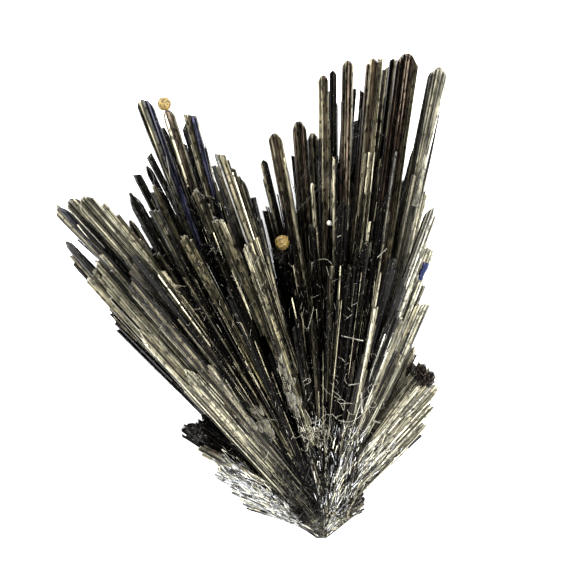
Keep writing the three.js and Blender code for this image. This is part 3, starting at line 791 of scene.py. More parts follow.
@dataclass(frozen=True)
class Filling:
    """The smaller strips of a sheaf: how many lie on top and below, their reaches, tones and sizes in mm.

    The drop is where a strip on top lies above or below its blade's line. Below deep_from it takes one of the
    shade tones, dark strips that are painted shade for its depth. The black and umber letters among the tones
    and the under_shade_tones are painted shade in the gaps.
    """

    top: int
    under: int
    under_reach: float
    tones: str
    top_reach: tuple[float, float] = (0.3, 0.93)
    shade_tones: str = "bbbbu"
    deep_from: float = -0.7
    drop: tuple[float, float] = (-1.9, 0.45)
    length: tuple[float, float] = (4, 24)
    width: tuple[float, float] = (0.09, 0.3)
    under_width: tuple[float, float] = (0.4, 0.9)
    under_shade_tones: str = "bbbbuuul"
    beside_width: tuple[float, float] = (0.1, 0.28)


@dataclass
class Sheaf:
    """A bundle of blades grown into each other between two clefts of the fan."""

    node: str
    start: float
    stop: float
    filling: Filling
    slot: str = "stibnite"
    weathered: bool = False
    blades: list[Blade] = field(init=False)

    def __post_init__(self) -> None:
        """Reads the sheaf's leading blades off the table."""
        self.blades = [Blade(*row) for row in BLADES[self.node]]

    @staticmethod
    def end_of(blade: Blade, share: float, side: float, random: np.random.Generator) -> tuple[float, float]:
        """How a leading blade's end runs where one of its bands lies.

        Args:
            blade: The blade.
            share: The band's place across the blade, from -1 at the left edge to 1 at the right.
            side: The side that a chisel end faces, -1 or 1.
            random: The sheaf's random numbers.

        Returns:
            How far the band stops short of the tip in millimetres, and the slant of its end.
        """
        half = blade.width / 2
        if blade.end is POINT:
            return abs(share) * 2.1 * half, -2.1 * np.sign(share)
        if blade.end is CHISEL:
            return (1 + share * side) * 0.45 * half, -0.45 * side
        if blade.end is BLUNT:
            curve = random.uniform(0.8, 1.3)
            return share * share * curve * half + random.uniform(0, 0.1) * half, -2 * curve * share
        return random.uniform(0, 1.4) * blade.width * (0.3 + abs(share)), random.uniform(-0.8, 0.8)

    def lay_blade(self, bed: StripBed, leading: Moulds, thin: Moulds, blade: Blade) -> None:
        """Lays a leading blade as bands side by side under one end, with thin companions along its flanks.

        Args:
            bed: Bed of the sheaf's strips.
            leading: Moulds of the bands.
            thin: Moulds of the companions.
            blade: The blade.
        """
        random = bed.random
        foot, tip = blade.ends()
        across = np.cross(tip - foot, (0.0, 0.0, 1.0))
        across /= np.linalg.norm(across)
        count = len(blade.strips)
        band = blade.width / count
        roll = random.normal(0, 6)
        side = random.choice((-1.0, 1.0))
        length = float(np.linalg.norm(tip - foot))
        ahead = (tip - foot) / length
        depth = blade.width * random.uniform(0.6, 0.8)
        for i, tone in enumerate(blade.strips):
            share = (i - (count - 1) / 2) / (count / 2)
            short, slant = self.end_of(blade, share, side, random)
            offset = across * share * blade.width / 2
            top = np.array([0, 0, random.normal(0, 0.04) - 0.3 * depth * share * share])
            near, far = foot + offset * FOOT_SHARE + top, tip - ahead * short + offset + top
            turn = roll + ARCH * share + random.normal(0, 4)
            width = band * BAND_OVERLAP
            bed.lay(leading, Strip(near, far, width, depth, blade.end, tone, turn, slant))
        for _ in range(int(3 + blade.width * 3)):
            lateral = across * random.choice((-1, 1)) * (0.5 * blade.width + random.uniform(-0.2, 0.2))
            reach = random.uniform(0.4, 0.96)
            start = max(0.0, reach - random.uniform(0.25, 0.6))
            drop = np.array([0, 0, random.uniform(0.0, 0.8)])
            width = random.uniform(*self.filling.beside_width)
            near = foot + (tip - foot) * start + lateral * FOOT_SHARE - drop
            far = foot + (tip - foot) * reach + lateral - drop
            tone = random.choice(list(self.filling.tones))
            turn, slant = random.normal(0, 25), random.uniform(-1, 1)
            bed.lay(thin, Strip(near, far, width, width, BROKEN, tone, turn, slant))

    def lay_top(self, bed: StripBed, thin: Moulds) -> None:
        """Lays the thin strips that lie on the leading blades' inner parts and between them.

        Args:
            bed: Bed of the sheaf's strips.
            thin: Moulds of the strips.
        """
        random = bed.random
        hosts = [blade for blade in self.blades if blade.rise > 4 and blade.share > 0.5] or self.blades
        spread = (self.stop - self.start) / 5
        for _ in range(self.filling.top):
            host = hosts[random.integers(len(hosts))]
            out = random.uniform(*self.filling.top_reach)
            reach = host.reach * out
            aside = random.normal(0, spread) * (1.05 - out)
            angle = host.angle + host.lean * (1 - out) * 0.3 + aside
            angle = np.clip(angle, self.start + 0.2, self.stop - 0.2)
            drop = random.uniform(*self.filling.drop)
            height = host.line(reach) + drop
            length = min(reach, random.uniform(*self.filling.length))
            lean = host.lean * out + random.normal(0, 1.0)
            tip = FAN.point(angle, reach, max(height, 0.4))
            foot = tip - FAN.direction(angle + lean) * length
            foot[2] = max(host.line(max(reach - length, 0)) + drop - 0.3, 0.3)
            width = random.uniform(*self.filling.width) * (0.5 + 0.6 * reach / 40)
            # A strip that lies deep takes a shade tone: painted shade for its depth.
            tones = self.filling.tones if drop > self.filling.deep_from else self.filling.shade_tones
            tone = random.choice(list(tones))
            width *= 0.7 if tone in "tpw" else 1.0
            depth = width * random.uniform(0.6, 1.0)
            end = BROKEN if random.random() < 0.7 else CHISEL
            turn, slant, bend = random.normal(0, 24), random.uniform(-1.2, 1.2), random.normal(0, 0.003)
            bed.lay(thin, Strip(foot, tip, width, depth, end, tone, turn, slant, bend, 0.85))

    def lay_under(self, bed: StripBed, thin: Moulds) -> None:
        """Lays the strips that fill the sheaf from the resting plane up to the leading blades. Their mostly
        black and umber tones are painted shade under the leading blades.

        Args:
            bed: Bed of the sheaf's strips.
            thin: Moulds of the strips.
        """
        random = bed.random
        for _ in range(self.filling.under):
            host = self.blades[random.integers(len(self.blades))]
            foot, tip = host.ends()
            foot = tip + (foot - tip) / host.share
            out = min(0.9, self.filling.under_reach / host.reach) * math.sqrt(random.uniform(0.12, 1.0))
            aside = np.array([*random.normal(0, 0.45, 2), 0.0])
            depth = random.uniform(0.0, 1.0)
            ends = []
            for share in (out * random.uniform(0.0, 0.45), out):
                place = foot + (tip - foot) * share + aside * share
                ends.append(np.array([place[0], place[1], 0.5 + (max(place[2] - 1.1, 0.3)) * depth]))
            width = random.uniform(*self.filling.under_width)
            thickness = width * random.uniform(0.6, 0.9)
            end = BROKEN if random.random() < 0.6 else CHISEL
            # Mostly black and umber: painted shade under the leading blades.
            tone = random.choice(list(self.filling.under_shade_tones))
            turn, slant = random.normal(0, 20), random.uniform(-0.8, 0.8)
            bed.lay(thin, Strip(*ends, width, thickness, end, tone, turn, slant))

    def build(self, leading: Moulds, thin: Moulds, material: Material, seed: int) -> Piece:
        """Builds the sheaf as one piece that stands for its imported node.

        Args:
            leading: Moulds of the leading blades' bands.
            thin: Moulds of the smaller strips.
            material: The sheaf's material.
            seed: Seed of the sheaf's own random numbers.

        Returns:
            The sheaf.
        """
        bed = StripBed(np.random.default_rng(seed))
        for blade in self.blades:
            self.lay_blade(bed, leading, thin, blade)
        self.lay_top(bed, thin)
        self.lay_under(bed, thin)
        piece = bed.piece(f"{self.node}_blades", material)
        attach(piece, "root")
        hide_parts(self.node)
        log.info("%s: %d strips, %d faces", piece.name, len(bed.points), len(bed.faces))
        return piece


# From left to right: each sheaf with its edges as fan angles, and its filling. The black and umber letters in
# the fillings' tones are strips of painted shade in the gaps between the brighter lines.
SHEAVES = (
    Sheaf(
        "silver_flake_sheaf",
        66.2,
        92,
        Filling(620, 60, 11, "iliwlplw", (0.3, 1.0), "lkil"),
        slot="silvery_stibnite",
    ),
    Sheaf("tan_stub_sheaf", 60.9, 66.2, Filling(170, 40, 13, "tnkkulpb"), weathered=True),
    Sheaf("dark_stub_sheaf", 49.8, 60.9, Filling(420, 90, 17, "bbbbuuulk", (0.3, 1.0))),
    Sheaf("left_under_sheaf", 45.9, 49.8, Filling(160, 60, 30, "bbbuulk")),
    Sheaf(
        "left_outer_sheaf", 35, 45.9, Filling(1900, 160, 36, "kbtubktbubtbp", (0.22, 0.95)), weathered=True
    ),
    Sheaf("left_inner_sheaf", 28.2, 35, Filling(950, 120, 34, "bbbbukktbt", (0.25, 0.93))),
    Sheaf("tall_left_sheaf", 17.9, 28.2, Filling(1300, 170, 40, "bbbbbuuklkt")),
    Sheaf("ridge_sheaf", 11.7, 17.9, Filling(700, 90, 29, "lktkpububb", (0.3, 0.85))),
    Sheaf("notch_sheaf", 1, 11.7, Filling(1100, 150, 30, "bbbbbukktt", (0.25, 0.88))),
    Sheaf("right_tall_sheaf", -11.9, 1, Filling(1700, 300, 44, "bbbbbbukktt", (0.22, 0.9))),
    Sheaf(
        "far_right_blade_sheaf", -17.4, -11.9, Filling(600, 80, 34, "bbbbbuukt", (0.25, 0.78)), weathered=True
    ),
    Sheaf(
        "right_flank_sheaf", -28.9, -17.4, Filling(1000, 130, 24, "tbtpwbubtpb", (0.3, 0.93)), weathered=True
    ),
    Sheaf("lower_right_tuft", -53, -28.9, Filling(1000, 130, 16, "tptptwppkbw", (0.3, 1.0)), weathered=True),
)


# ------------------------------------------------------------------ the root


@dataclass
class Surface:
    """The outer surface of the built pieces, for setting things down on it."""

    trees: list[tuple[BVHTree, np.ndarray]]

    @classmethod
    def of(cls, pieces: list[Piece]) -> "Surface":
        """Reads the surface and the box of finished pieces, which stand at the origin."""
        graph = bpy.context.evaluated_depsgraph_get()
        boxes = [np.array(piece.bound_box)[:, :2] / MM for piece in pieces]
        trees = [BVHTree.FromObject(piece, graph) for piece in pieces]
        return cls(list(zip(trees, boxes, strict=True)))

    def height(self, x: float, y: float, fallback: float = 0.0) -> float:
        """The height of the surface under a point, found from straight above, in millimetres."""
        above = Vector((x * MM, y * MM, 0.1))
        near = [
            tree
            for tree, box in self.trees
            if np.all(box.min(axis=0) <= (x, y)) and np.all(box.max(axis=0) >= (x, y))
        ]
        hits = [tree.ray_cast(above, Vector((0, 0, -1)))[0] for tree in near]
        heights = [hit.z / MM for hit in hits if hit]
        return max(heights, default=fallback)


@dataclass(frozen=True)
class FeltPatch:
    """A patch of short fibres over the root, in fan angles and reaches about the root's lowest point.

    The fibres run outwards from that point, give or take the stray angle in degrees, and thin out towards the
    patch's sides, and towards its far end where gather is above one.
    """

    start: float
    stop: float
    near: float
    far: float
    tones: str
    count: int
    stray: float
    gather: float = 1.0


@dataclass(frozen=True)
class BrokenRoot:
    """The silvery broken knob that the sheaves spring from: laths that run out from its lowest point."""

    node: str = "broken_root"
    slot: str = "silvery_stibnite"
    laths: int = 1300
    tones: str = "lpllwkluub"
    spread: tuple[float, float] = (-57.0, 66.0)
    length: tuple[float, float] = (1.2, 7.5)
    width: tuple[float, float] = (0.12, 0.4)
    seed: int = 5

    def build(self, thin: Moulds, material: Material) -> Piece:
        """Builds the knob from laths that run out from its lowest point, as one piece.

        Args:
            thin: Moulds of the laths.
            material: The root's material.

        Returns:
            The root.
        """
        low, high = (np.array(corner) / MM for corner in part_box(self.node))
        bed = StripBed(np.random.default_rng(self.seed))
        random = bed.random
        for _ in range(self.laths):
            length = random.uniform(*self.length)
            tip = FAN.apex() + FAN.direction(random.uniform(*self.spread)) * length
            tip[2] = random.uniform(0.3, 2.2 + 0.85 * length)
            tip = np.clip(tip, low + 0.1, high - 0.1)
            foot = FAN.apex() + random.normal(0, 0.3, 3)
            width = random.uniform(*self.width)
            start = foot + (tip - foot) * random.uniform(0, 0.5)
            depth = width * random.uniform(0.5, 0.9)
            tone = random.choice(list(self.tones))
            turn, slant = random.normal(0, 40), random.uniform(-1, 1)
            bed.lay(thin, Strip(start, tip, width, depth, BROKEN, tone, turn, slant, foot_share=0.5))
        piece = bed.piece("broken_root_laths", material)
        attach(piece, "root")
        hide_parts(self.node)
        log.info("%s: %d laths", piece.name, len(bed.points))
        return piece


@dataclass(frozen=True)
class Felt:
    """Fine fibres that lie over the blades in patches, as one piece."""

    name: str
    slot: str
    patches: tuple[FeltPatch, ...]
    half_length: tuple[float, float] = (0.2, 0.9)
    width: tuple[float, float] = (0.05, 0.14)
    seed: int = 8

    def build(self, thin: Moulds, surface: Surface, material: Material) -> Piece:
        """Builds the fibres.

        Args:
            thin: Moulds of the fibres.
            surface: Surface of the sheaves and the root.
            material: The fibres' material.

        Returns:
            The fibres as one piece.
        """
        bed = StripBed(np.random.default_rng(self.seed))
        random = bed.random
        for patch in self.patches:
            for _ in range(patch.count):
                angle = random.triangular(patch.start, (patch.start + patch.stop) / 2, patch.stop)
                reach = patch.near + (patch.far - patch.near) * random.uniform() ** patch.gather
                spot = FAN.apex() + FAN.direction(angle) * reach
                way = FAN.direction(angle + random.normal(0, patch.stray))
                half = way * random.uniform(*self.half_length)
                ends = []
                for place in (spot - half, spot + half):
                    height = surface.height(place[0], place[1], -1.0)
                    ends.append(np.array([place[0], place[1], height + random.uniform(-0.1, 0.12)]))
                if min(ends[0][2], ends[1][2]) < 0.2 or abs(ends[0][2] - ends[1][2]) > 1.2:
                    continue
                width = random.uniform(*self.width)
                tone = random.choice(list(patch.tones))
                look = random.normal(0, 40), random.uniform(-1, 1), random.normal(0, 0.05)
                bed.lay(thin, Strip(*ends, width, width * 0.7, BROKEN, tone, *look, 0.7))
        piece = bed.piece(self.name, material)
        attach(piece, "root")
        log.info("%s: %d fibres", piece.name, len(bed.points))
        return piece


# ------------------------------------------------------------------ minerals and debris on the blades


def lump(
    name: str,
    centre: np.ndarray,
    radii: tuple[float, float, float],
    rough: float,
    grain: float,
    detail: int = 4,
) -> Piece:
    """Models a rough lump: a sphere pushed in and out by cloudy relief.

    Args:
        name: Name of the object.
        centre: Centre in millimetres.
        radii: Half sizes along X, Y and Z in millimetres.
        rough: Height of the relief in millimetres.
        grain: Size of the relief's features in millimetres.
        detail: Subdivisions of the sphere.

    Returns:
        The lump, at the origin with its place in its mesh.
    """
    select()
    bpy.ops.mesh.primitive_ico_sphere_add(
        subdivisions=detail,
        radius=1,
        location=tuple(centre * MM),
        scale=tuple(radius * MM for radius in radii),
    )
    made = bpy.context.object
    made.name = name
    bpy.ops.object.transform_apply(location=True, rotation=True, scale=True)
    for share, size in ((1.0, grain * 2.2), (0.7, grain)):
        clouds = bpy.data.textures.new(f"{name}_relief", "CLOUDS")
        clouds.noise_scale = size * MM
        relief = made.modifiers.new("relief", "DISPLACE")
        relief.texture = clouds
        relief.texture_coords = "LOCAL"
        relief.strength = rough * share * MM
        relief.mid_level = 0.5
        bpy.ops.object.modifier_apply(modifier=relief.name)
    bpy.ops.object.shade_smooth_by_angle(angle=math.radians(50))
    return made


@dataclass(frozen=True)
class MineralBall:
    """A ball of another mineral grown on the blades: a packed cluster of rounded grains."""

    node: str
    slot: str
    finish: GranularMineral
    grains: int = 46
    core_share: float = 0.96
    grain_place: float = 0.86
    grain_size: tuple[float, float] = (0.1, 0.2)

    def build(self, surface: Surface, sunk: float) -> Piece:
        """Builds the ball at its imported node's place.

        Args:
            surface: The blades' surface.
            sunk: How far the ball's middle stands above the blades in millimetres, or 0 to keep its height.

        Returns:
            The ball.
        """
        low, high = (np.array(corner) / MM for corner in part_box(self.node))
        centre = (low + high) / 2
        radius = float(high[0] - low[0]) / 2
        if sunk:
            centre[2] = min(max(surface.height(centre[0], centre[1]) + sunk, low[2]), high[2])
        core_radii = (radius * self.core_share,) * 3
        core = lump(f"{self.node}_grains", centre, core_radii, radius * 0.18, radius * 0.35)
        random = np.random.default_rng(len(self.node))
        made = [core]
        for i in range(self.grains):
            height = 1 - 2 * (i + 0.5) / self.grains
            turn = i * GOLDEN_TURN
            ring = math.sqrt(1 - height * height)
            outward = np.array([ring * math.cos(turn), ring * math.sin(turn), height])
            spot = centre + radius * self.grain_place * outward
            bpy.ops.mesh.primitive_ico_sphere_add(
                subdivisions=2,
                radius=radius * random.uniform(*self.grain_size) * MM,
                location=tuple(spot * MM),
            )
            bpy.ops.object.transform_apply(location=True, rotation=True, scale=True)
            made.append(bpy.context.object)
        select(*made)
        bpy.ops.object.join()
        core.data.materials.clear()
        core.data.materials.append(self.finish.material())
        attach(core, "root")
        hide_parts(self.node)
        log.info("%s: %d grains", core.name, self.grains)
        return core


@dataclass(frozen=True)
class Crust:
    """A low glassy crust over the blades, of flat knobs run together along them."""

    angle: float
    reach: float
    length: float
    width: float
    knobs: int


def build_crusts(crusts: list[Crust], surface: Surface, finish: GranularMineral) -> Piece:
    """Builds crusts of one mineral as one piece, from one knob that is modelled and then copied.

    Args:
        crusts: The crusts.
        surface: The blades' surface.
        finish: The mineral's finish.

    Returns:
        The crusts.
    """
    random = np.random.default_rng(17)
    knob = lump("glassy_crust", np.zeros(3), (1.0, 1.0, 1.0), 0.5, 0.8, 3)
    knob.data.materials.clear()
    knob.data.materials.append(finish.material())
    copies = []
    for crust in crusts:
        along = FAN.direction(crust.angle)
        across = np.array([along[1], -along[0], 0.0])
        for _ in range(crust.knobs):
            spot = FAN.point(crust.angle, crust.reach, 0.0)
            spot = spot + along * random.normal(0, 0.28) * crust.length
            spot = spot + across * random.normal(0, 0.3) * crust.width
            select(knob)
            bpy.ops.object.duplicate()
            copy = bpy.context.object
            copy.location = (spot[0] * MM, spot[1] * MM, (surface.height(spot[0], spot[1]) + 0.02) * MM)
            copy.rotation_euler = (0, 0, math.radians(crust.angle))
            size = crust.width * random.uniform(0.12, 0.3)
            copy.scale = (size, size * random.uniform(1.5, 4.0), size * 0.16)
            bpy.ops.object.transform_apply(location=True, rotation=True, scale=True)
            copies.append(copy)
    bpy.data.objects.remove(knob)
    select(*copies)
    bpy.ops.object.join()
    made = bpy.context.object
    made.name = "glassy_crusts"
    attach(made, "root")
    log.info("%s: %d knobs", made.name, len(copies))
    return made


@dataclass(frozen=True)
class Splinter:
    """A loose cleaved splinter that lies across the blades."""

    node: str
    heading: float
    length: float
    thickness: float

    def build(self, surface: Surface, thin: Moulds, material: Material) -> Piece:
        """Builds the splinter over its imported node, resting on the blades.

        Args:
            surface: The blades' surface.
            thin: Moulds of the splinter.
            material: The splinter's material.

        Returns:
            The splinter.
        """
        low, high = (np.array(corner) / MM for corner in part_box(self.node))
        middle = (low + high) / 2
        half = FAN.direction(self.heading) * self.length / 2
        spots = [middle + half * share for share in (-1, -0.5, 0, 0.5, 1)]
        middle[2] = max(surface.height(spot[0], spot[1]) for spot in spots) + self.thickness * 0.4
        bed = StripBed(np.random.default_rng(3))
        width, depth = self.thickness * 1.2, self.thickness * 0.7
        bed.lay(thin, Strip(middle - half, middle + half, width, depth, BROKEN, "w", foot_share=0.8))
        piece = bed.piece(f"{self.node}_sliver", material)
        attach(piece, "root")
        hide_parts(self.node)
        log.info("%s: %.1f mm long", piece.name, self.length)
        return piece


@dataclass(frozen=True)
class Fibre:
    """A hair, needle or loop of lint as a thin round tube through a few points."""

    points: tuple[tuple[float, float, float], ...]
    thickness: float


@dataclass(frozen=True)
class FibreGroup:
    """Fibres of one kind that are caught on the blades, as one piece of mesh."""

    name: str
    slot: str

    def build(self, fibres: list[Fibre], material: Material) -> Piece:
        """Draws each fibre as a bevelled curve and turns them into one mesh.

        Args:
            fibres: The fibres, in millimetres.
            material: Their material.

        Returns:
            The fibres as one piece.
        """
        curve = bpy.data.curves.new(self.name, "CURVE")
        curve.dimensions = "3D"
        curve.bevel_depth = 0.5 * MM
        curve.bevel_resolution = 1
        curve.resolution_u = 4
        curve.use_fill_caps = True
        for fibre in fibres:
            spline = curve.splines.new("NURBS")
            spline.points.add(len(fibre.points) - 1)
            spline.use_endpoint_u = True
            spline.order_u = min(3, len(fibre.points))
            for point, place in zip(spline.points, fibre.points, strict=True):
                point.co = (*(np.array(place) * MM), 1.0)
                point.radius = fibre.thickness
        made = bpy.data.objects.new(self.name, curve)
        bpy.context.scene.collection.objects.link(made)
        select(made)
        bpy.ops.object.convert(target="MESH")
        made = bpy.context.object
        made.data.materials.clear()
        made.data.materials.append(material)
        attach(made, "root")
        log.info("%s: %d fibres, %d faces", made.name, len(fibres), len(made.data.polygons))
        return made


@dataclass(frozen=True)
class Debris:
    """Fine needles, lint and hairs that have settled on the blades."""

    surface: Surface
    random: np.random.Generator

    def scattered(self, angle: float, reach: float, spread: float) -> np.ndarray:
        """A point on the blades near a fan angle and reach, in millimetres."""
        spot = FAN.point(angle, reach, 0.0) + np.append(self.random.normal(0, spread, 2), 0.0)
        spot = np.clip(spot, FAN.low + 0.6, FAN.high - 0.6)
        spot[2] = self.surface.height(spot[0], spot[1], 4.0)
        return spot

    def needles(
        self, angle: float, reach: float, spread: float, count: int, length: float, thickness: float
    ) -> list[Fibre]:
        """Straight needles strewn about a place at all headings.

        Args:
            angle: Fan angle of the place.
            reach: Reach of the place.
            spread: How far they spread, in millimetres.
            count: How many.
            length: Typical length in millimetres.
            thickness: Thickness in millimetres.

        Returns:
            The needles.
        """
        made = []
        for _ in range(count):
            spot = self.scattered(angle, reach, spread)
            way = FAN.direction(self.random.normal(angle, 45))
            half = way * length * 0.5 * self.random.lognormal(-0.3, 0.6)
            tilt = np.array([0, 0, self.random.normal(0, 0.25)])
            middle = spot + (0, 0, thickness + 0.05)
            slim = thickness * self.random.uniform(0.5, 1.1)
            ends = (tuple(middle - half - tilt), tuple(middle), tuple(middle + half + tilt))
            made.append(Fibre(ends, slim))
        return made

    def hair(self, points: list[tuple[float, float]], lift: float, thickness: float) -> Fibre:
        """A hair that rides over the blades through level points in millimetres.

        Args:
            points: X and Y of the points that it passes through.
            lift: Height above the blades in millimetres.
            thickness: Thickness in millimetres.

        Returns:
            The hair.
        """
        heights = [self.surface.height(x, y, 0.0) for x, y in points]
        level = max(heights)
        lifted = [max(height, level - 3) + lift for height in heights]
        places = [(x, y, z) for (x, y), z in zip(points, lifted, strict=True)]
        return Fibre(tuple(places), thickness)

    def curls(
        self, angle: float, reach: float, spread: float, count: int, size: float, thickness: float
    ) -> list[Fibre]:
        """Curled fibres of lint about a place.

        Args:
            angle: Fan angle of the place.
            reach: Reach of the place.
            spread: How far they spread, in millimetres.
            count: How many.
            size: Typical width of a curl in millimetres.
            thickness: Thickness in millimetres.

        Returns:
            The fibres.
        """
        made = []
        for _ in range(count):
            spot = self.scattered(angle, reach, spread)
            heading = self.random.uniform(0, 360)
            turn = self.random.uniform(-55, 55)
            place = spot + (0, 0, 0.15)
            points = [tuple(place)]
            for _ in range(self.random.integers(4, 8)):
                place = place + FAN.direction(heading) * size * self.random.uniform(0.2, 0.5)
                place = np.clip(place, FAN.low + 0.4, FAN.high - 0.4)
                place[2] = max(self.surface.height(place[0], place[1], spot[2]), spot[2] - 0.6) + 0.15
                points.append(tuple(place))
                heading += turn + self.random.normal(0, 22)
            made.append(Fibre(tuple(points), thickness))
        return made


# ------------------------------------------------------------------ studio


@dataclass(frozen=True)
class SoftBox:
    """A soft rectangular studio light that faces the spray."""

    name: str
    place: tuple[float, float, float]
    size: tuple[float, float]
    power: float


@dataclass(frozen=True)
class Studio:
    """A white floor, soft boxes round a dark gap overhead, and a camera that looks straight down."""

    camera_height: float = 0.4
    lens: float = 203.5
    aim: tuple[float, float] = (4.34, 1.63)
    floor_size: float = 3.0
    floor_gap: float = 0.00002
    ambient: tuple[float, float, float, float] = (0.32, 0.32, 0.33, 1)
    ambient_strength: float = 0.25
    boxes: tuple[SoftBox, ...] = (
        SoftBox("soft_box_left", (-0.55, 0.05, 0.5), (0.5, 0.8), 14),
        SoftBox("soft_box_right", (0.55, 0.0, 0.5), (0.5, 0.8), 16),
        SoftBox("soft_box_root_side", (0.0, -0.6, 0.42), (0.8, 0.35), 9),
        SoftBox("soft_box_tip_side", (0.0, 0.62, 0.55), (0.8, 0.35), 9),
    )

    def build(self) -> None:
        """Lays the floor, hangs the lights and sets the camera."""
        select()
        bpy.ops.mesh.primitive_plane_add(
            size=self.floor_size, location=(0, 0, CAD_BOUNDS[0][2] - self.floor_gap)
        )
        floor = bpy.context.object
        floor.name = "floor"
        floor.data.materials.append(PlainFinish("white studio paper", "#fbfbfb", 0.9).material())
        for box in self.boxes:
            light = bpy.data.lights.new(box.name, "AREA")
            light.shape = "RECTANGLE"
            light.size, light.size_y = box.size
            light.energy = box.power
            holder = bpy.data.objects.new(box.name, light)
            holder.location = box.place
            holder.rotation_euler = Vector(box.place).to_track_quat("Z", "Y").to_euler()
            bpy.context.scene.collection.objects.link(holder)
        world = bpy.data.worlds.new("studio")
        world.use_nodes = True
        background = world.node_tree.nodes["Background"]
        set_up(world.node_tree, background, {"[Color]": self.ambient, "[Strength]": self.ambient_strength})
        bpy.context.scene.world = world
        camera = bpy.data.cameras.new("camera")
        camera.lens = self.lens
        camera.sensor_width = 36
        camera.clip_start = 0.01
        holder = bpy.data.objects.new("camera", camera)
        holder.location = (self.aim[0] * MM, self.aim[1] * MM, self.camera_height)
        bpy.context.scene.collection.objects.link(holder)
        bpy.context.scene.camera = holder
        bpy.context.scene.view_settings.view_transform = "Standard"


# ------------------------------------------------------------------ assembly


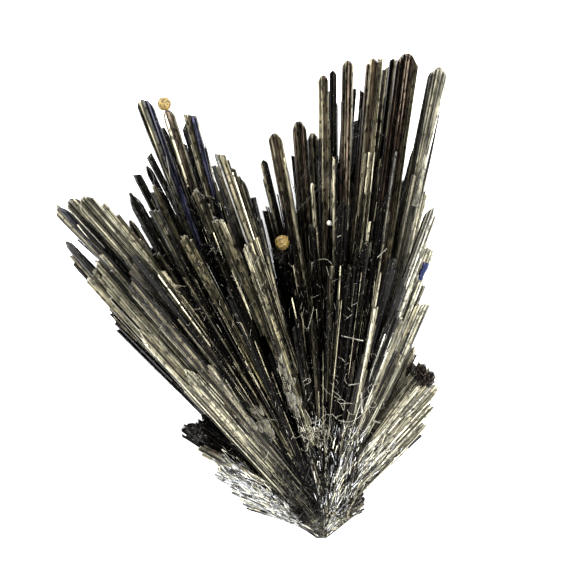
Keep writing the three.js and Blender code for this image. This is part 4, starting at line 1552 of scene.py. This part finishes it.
def main() -> None:
    """Builds the sheaves, the root and what lies on them, then the studio."""
    stibnite = StriatedStibnite().material()
    silvery = StriatedStibnite(
        "stibnite broken silvery fibres", roughness=(0.34, 0.54), stria_length_mm=6, chip_shade=0.45
    ).material()
    weathered = StriatedStibnite(
        "stibnite weathered tan faces",
        roughness=(0.42, 0.62),
        metallic=0.5,
        painted_streak_range=(0.04, 1.36),
        chip_mm=0.24,
        chip_shade=0.3,
    ).material()
    leading = MouldMaker().make_all()
    thin = MouldMaker(5, ()).make_all()
    root = BrokenRoot()
    built = [root.build(thin, silvery)]
    for number, sheaf in enumerate(SHEAVES):
        material = weathered if sheaf.weathered else silvery if sheaf.slot == "silvery_stibnite" else stibnite
        built.append(sheaf.build(leading, thin, material, 100 + number))
    surface = Surface.of(built)
    Felt(
        "silvery_root_felt",
        "silvery_stibnite",
        (
            FeltPatch(-16, 56, 2.6, 10.5, "bbbbbul", 1300, 36, 1.2),
            FeltPatch(-60, 10, 1.5, 14.5, "wiplbil", 1900, 11, 1.5),
            FeltPatch(44, 70, 3.5, 16.0, "iwilpi", 1200, 9, 1.3),
            FeltPatch(-62, -34, 1.0, 9.0, "lpukl", 500, 30),
            FeltPatch(-40, 50, 0.2, 3.2, "lukbl", 500, 30),
        ),
    ).build(thin, surface, silvery)
    Felt(
        "dark_end_fringes",
        "stibnite",
        (
            FeltPatch(-38, -26, 22.4, 24.3, "bbnu", 420, 34),
            FeltPatch(47.5, 53, 19.0, 22.8, "bbul", 420, 50),
            FeltPatch(22, 30, 30, 38, "bbuk", 260, 40),
        ),
    ).build(thin, surface, stibnite)
    honey = GranularMineral("honey mineral grown in fine grains", "#8f7739", "#2e2308")
    MineralBall("yellow_ball_on_tip", "yellow_mineral", honey).build(surface, 0.0)
    MineralBall("yellow_ball_in_notch", "yellow_mineral", honey).build(surface, 0.7)
    bead = GranularMineral("white waxy bead", "#dcd9cc", "#a5a294", 0.3, 0.35)
    MineralBall("white_bead", "white_mineral", bead, 14).build(surface, 0.25)
    build_crusts(
        [
            Crust(15.5, 18.0, 3.4, 0.9, 22),
            Crust(15.8, 14.2, 2.6, 1.1, 18),
            Crust(35.0, 14.0, 5.0, 1.4, 22),
        ],
        surface,
        GranularMineral("glassy mineral crust grown thin", "#4d4a3c", "#231f18", 0.6, 0.3),
    )
    for splinter in (
        Splinter("loose_splinter_1", -103, 2.6, 0.2),
        Splinter("loose_splinter_2", -81, 1.5, 0.16),
        Splinter("loose_splinter_3", 3, 2.6, 0.3),
        Splinter("loose_splinter_4", -105, 0.9, 0.26),
        Splinter("loose_splinter_5", -46, 1.5, 0.14),
    ):
        splinter.build(surface, thin, stibnite)
    debris = Debris(surface, np.random.default_rng(41))
    lint = PlainFinish("textile lint pale spun fibre", "#8d887a", 0.8).material()
    FibreGroup("lint_nest", "pale_debris").build(
        debris.curls(7, 10.0, 0.8, 40, 0.7, 0.04) + debris.curls(-12, 13.5, 1.9, 16, 1.3, 0.035), lint
    )
    curved = [
        [(-10.1, 19.1), (-10.2, 17.5), (-9.8, 16.1), (-9.6, 14.5), (-9.8, 13.1), (-9.2, 11.5)],
        [(-11.3, 21.9), (-10.6, 21.8), (-9.7, 21.9)],
        [(-6.5, 13.4), (-5.6, 12.2), (-4.9, 12.6), (-4.3, 12.1)],
        [(9.6, 9.0), (10.7, 10.6), (11.6, 9.4), (11.3, 7.9), (10.2, 7.6)],
        [(7.2, 4.5), (8.6, 5.4), (10.0, 4.1), (9.4, 2.7)],
        [(6.4, -12.9), (7.4, -14.3), (6.8, -15.6), (5.7, -14.9)],
        [(10.6, -12.2), (12.4, -12.0), (13.8, -13.4), (13.2, -15.1), (11.6, -15.3)],
        [(9.2, -13.6), (10.8, -14.6), (12.8, -14.2), (14.2, -12.4)],
    ]
    FibreGroup("pale_hairs", "pale_debris").build([debris.hair(line, 0.25, 0.05) for line in curved], lint)
    hair = PlainFinish("stibnite fine dark needles", "#2b2924", 0.4).material()
    FibreGroup("dark_needles", "stibnite").build(
        debris.needles(0.5, 41, 1.4, 26, 3.0, 0.05)
        + debris.needles(-4.6, 46, 0.9, 14, 2.4, 0.06)
        + debris.needles(10.5, 31.5, 0.8, 16, 1.8, 0.06)
        + debris.needles(24, 44, 2.6, 16, 2.6, 0.05),
        hair,
    )
    cracks = debris.needles(41.5, 30, 2.2, 90, 0.5, 0.1) + debris.needles(41, 20, 1.6, 50, 0.4, 0.09)
    FibreGroup("black_crumbs", "stibnite").build(cracks, hair)
    dust = PlainFinish("stibnite cleaved needle crumbs", "#9c998b", 0.4, 0.5).material()
    crumbs = []
    for angle, reach, spread, count in (
        (20, 32, 3.0, 50),
        (36, 26, 4.0, 40),
        (4, 24, 3.6, 36),
        (-6, 27, 4.0, 50),
        (-14, 17, 3.4, 50),
        (10, 12, 3.0, 70),
        (50, 12, 2.6, 40),
        (-40, 12, 2.6, 30),
    ):
        crumbs += debris.needles(angle, reach, spread, count, 0.8, 0.035)
    FibreGroup("needle_crumbs", "pale_debris").build(crumbs, dust)
    Studio().build()


if __name__ == "__main__":
    main()
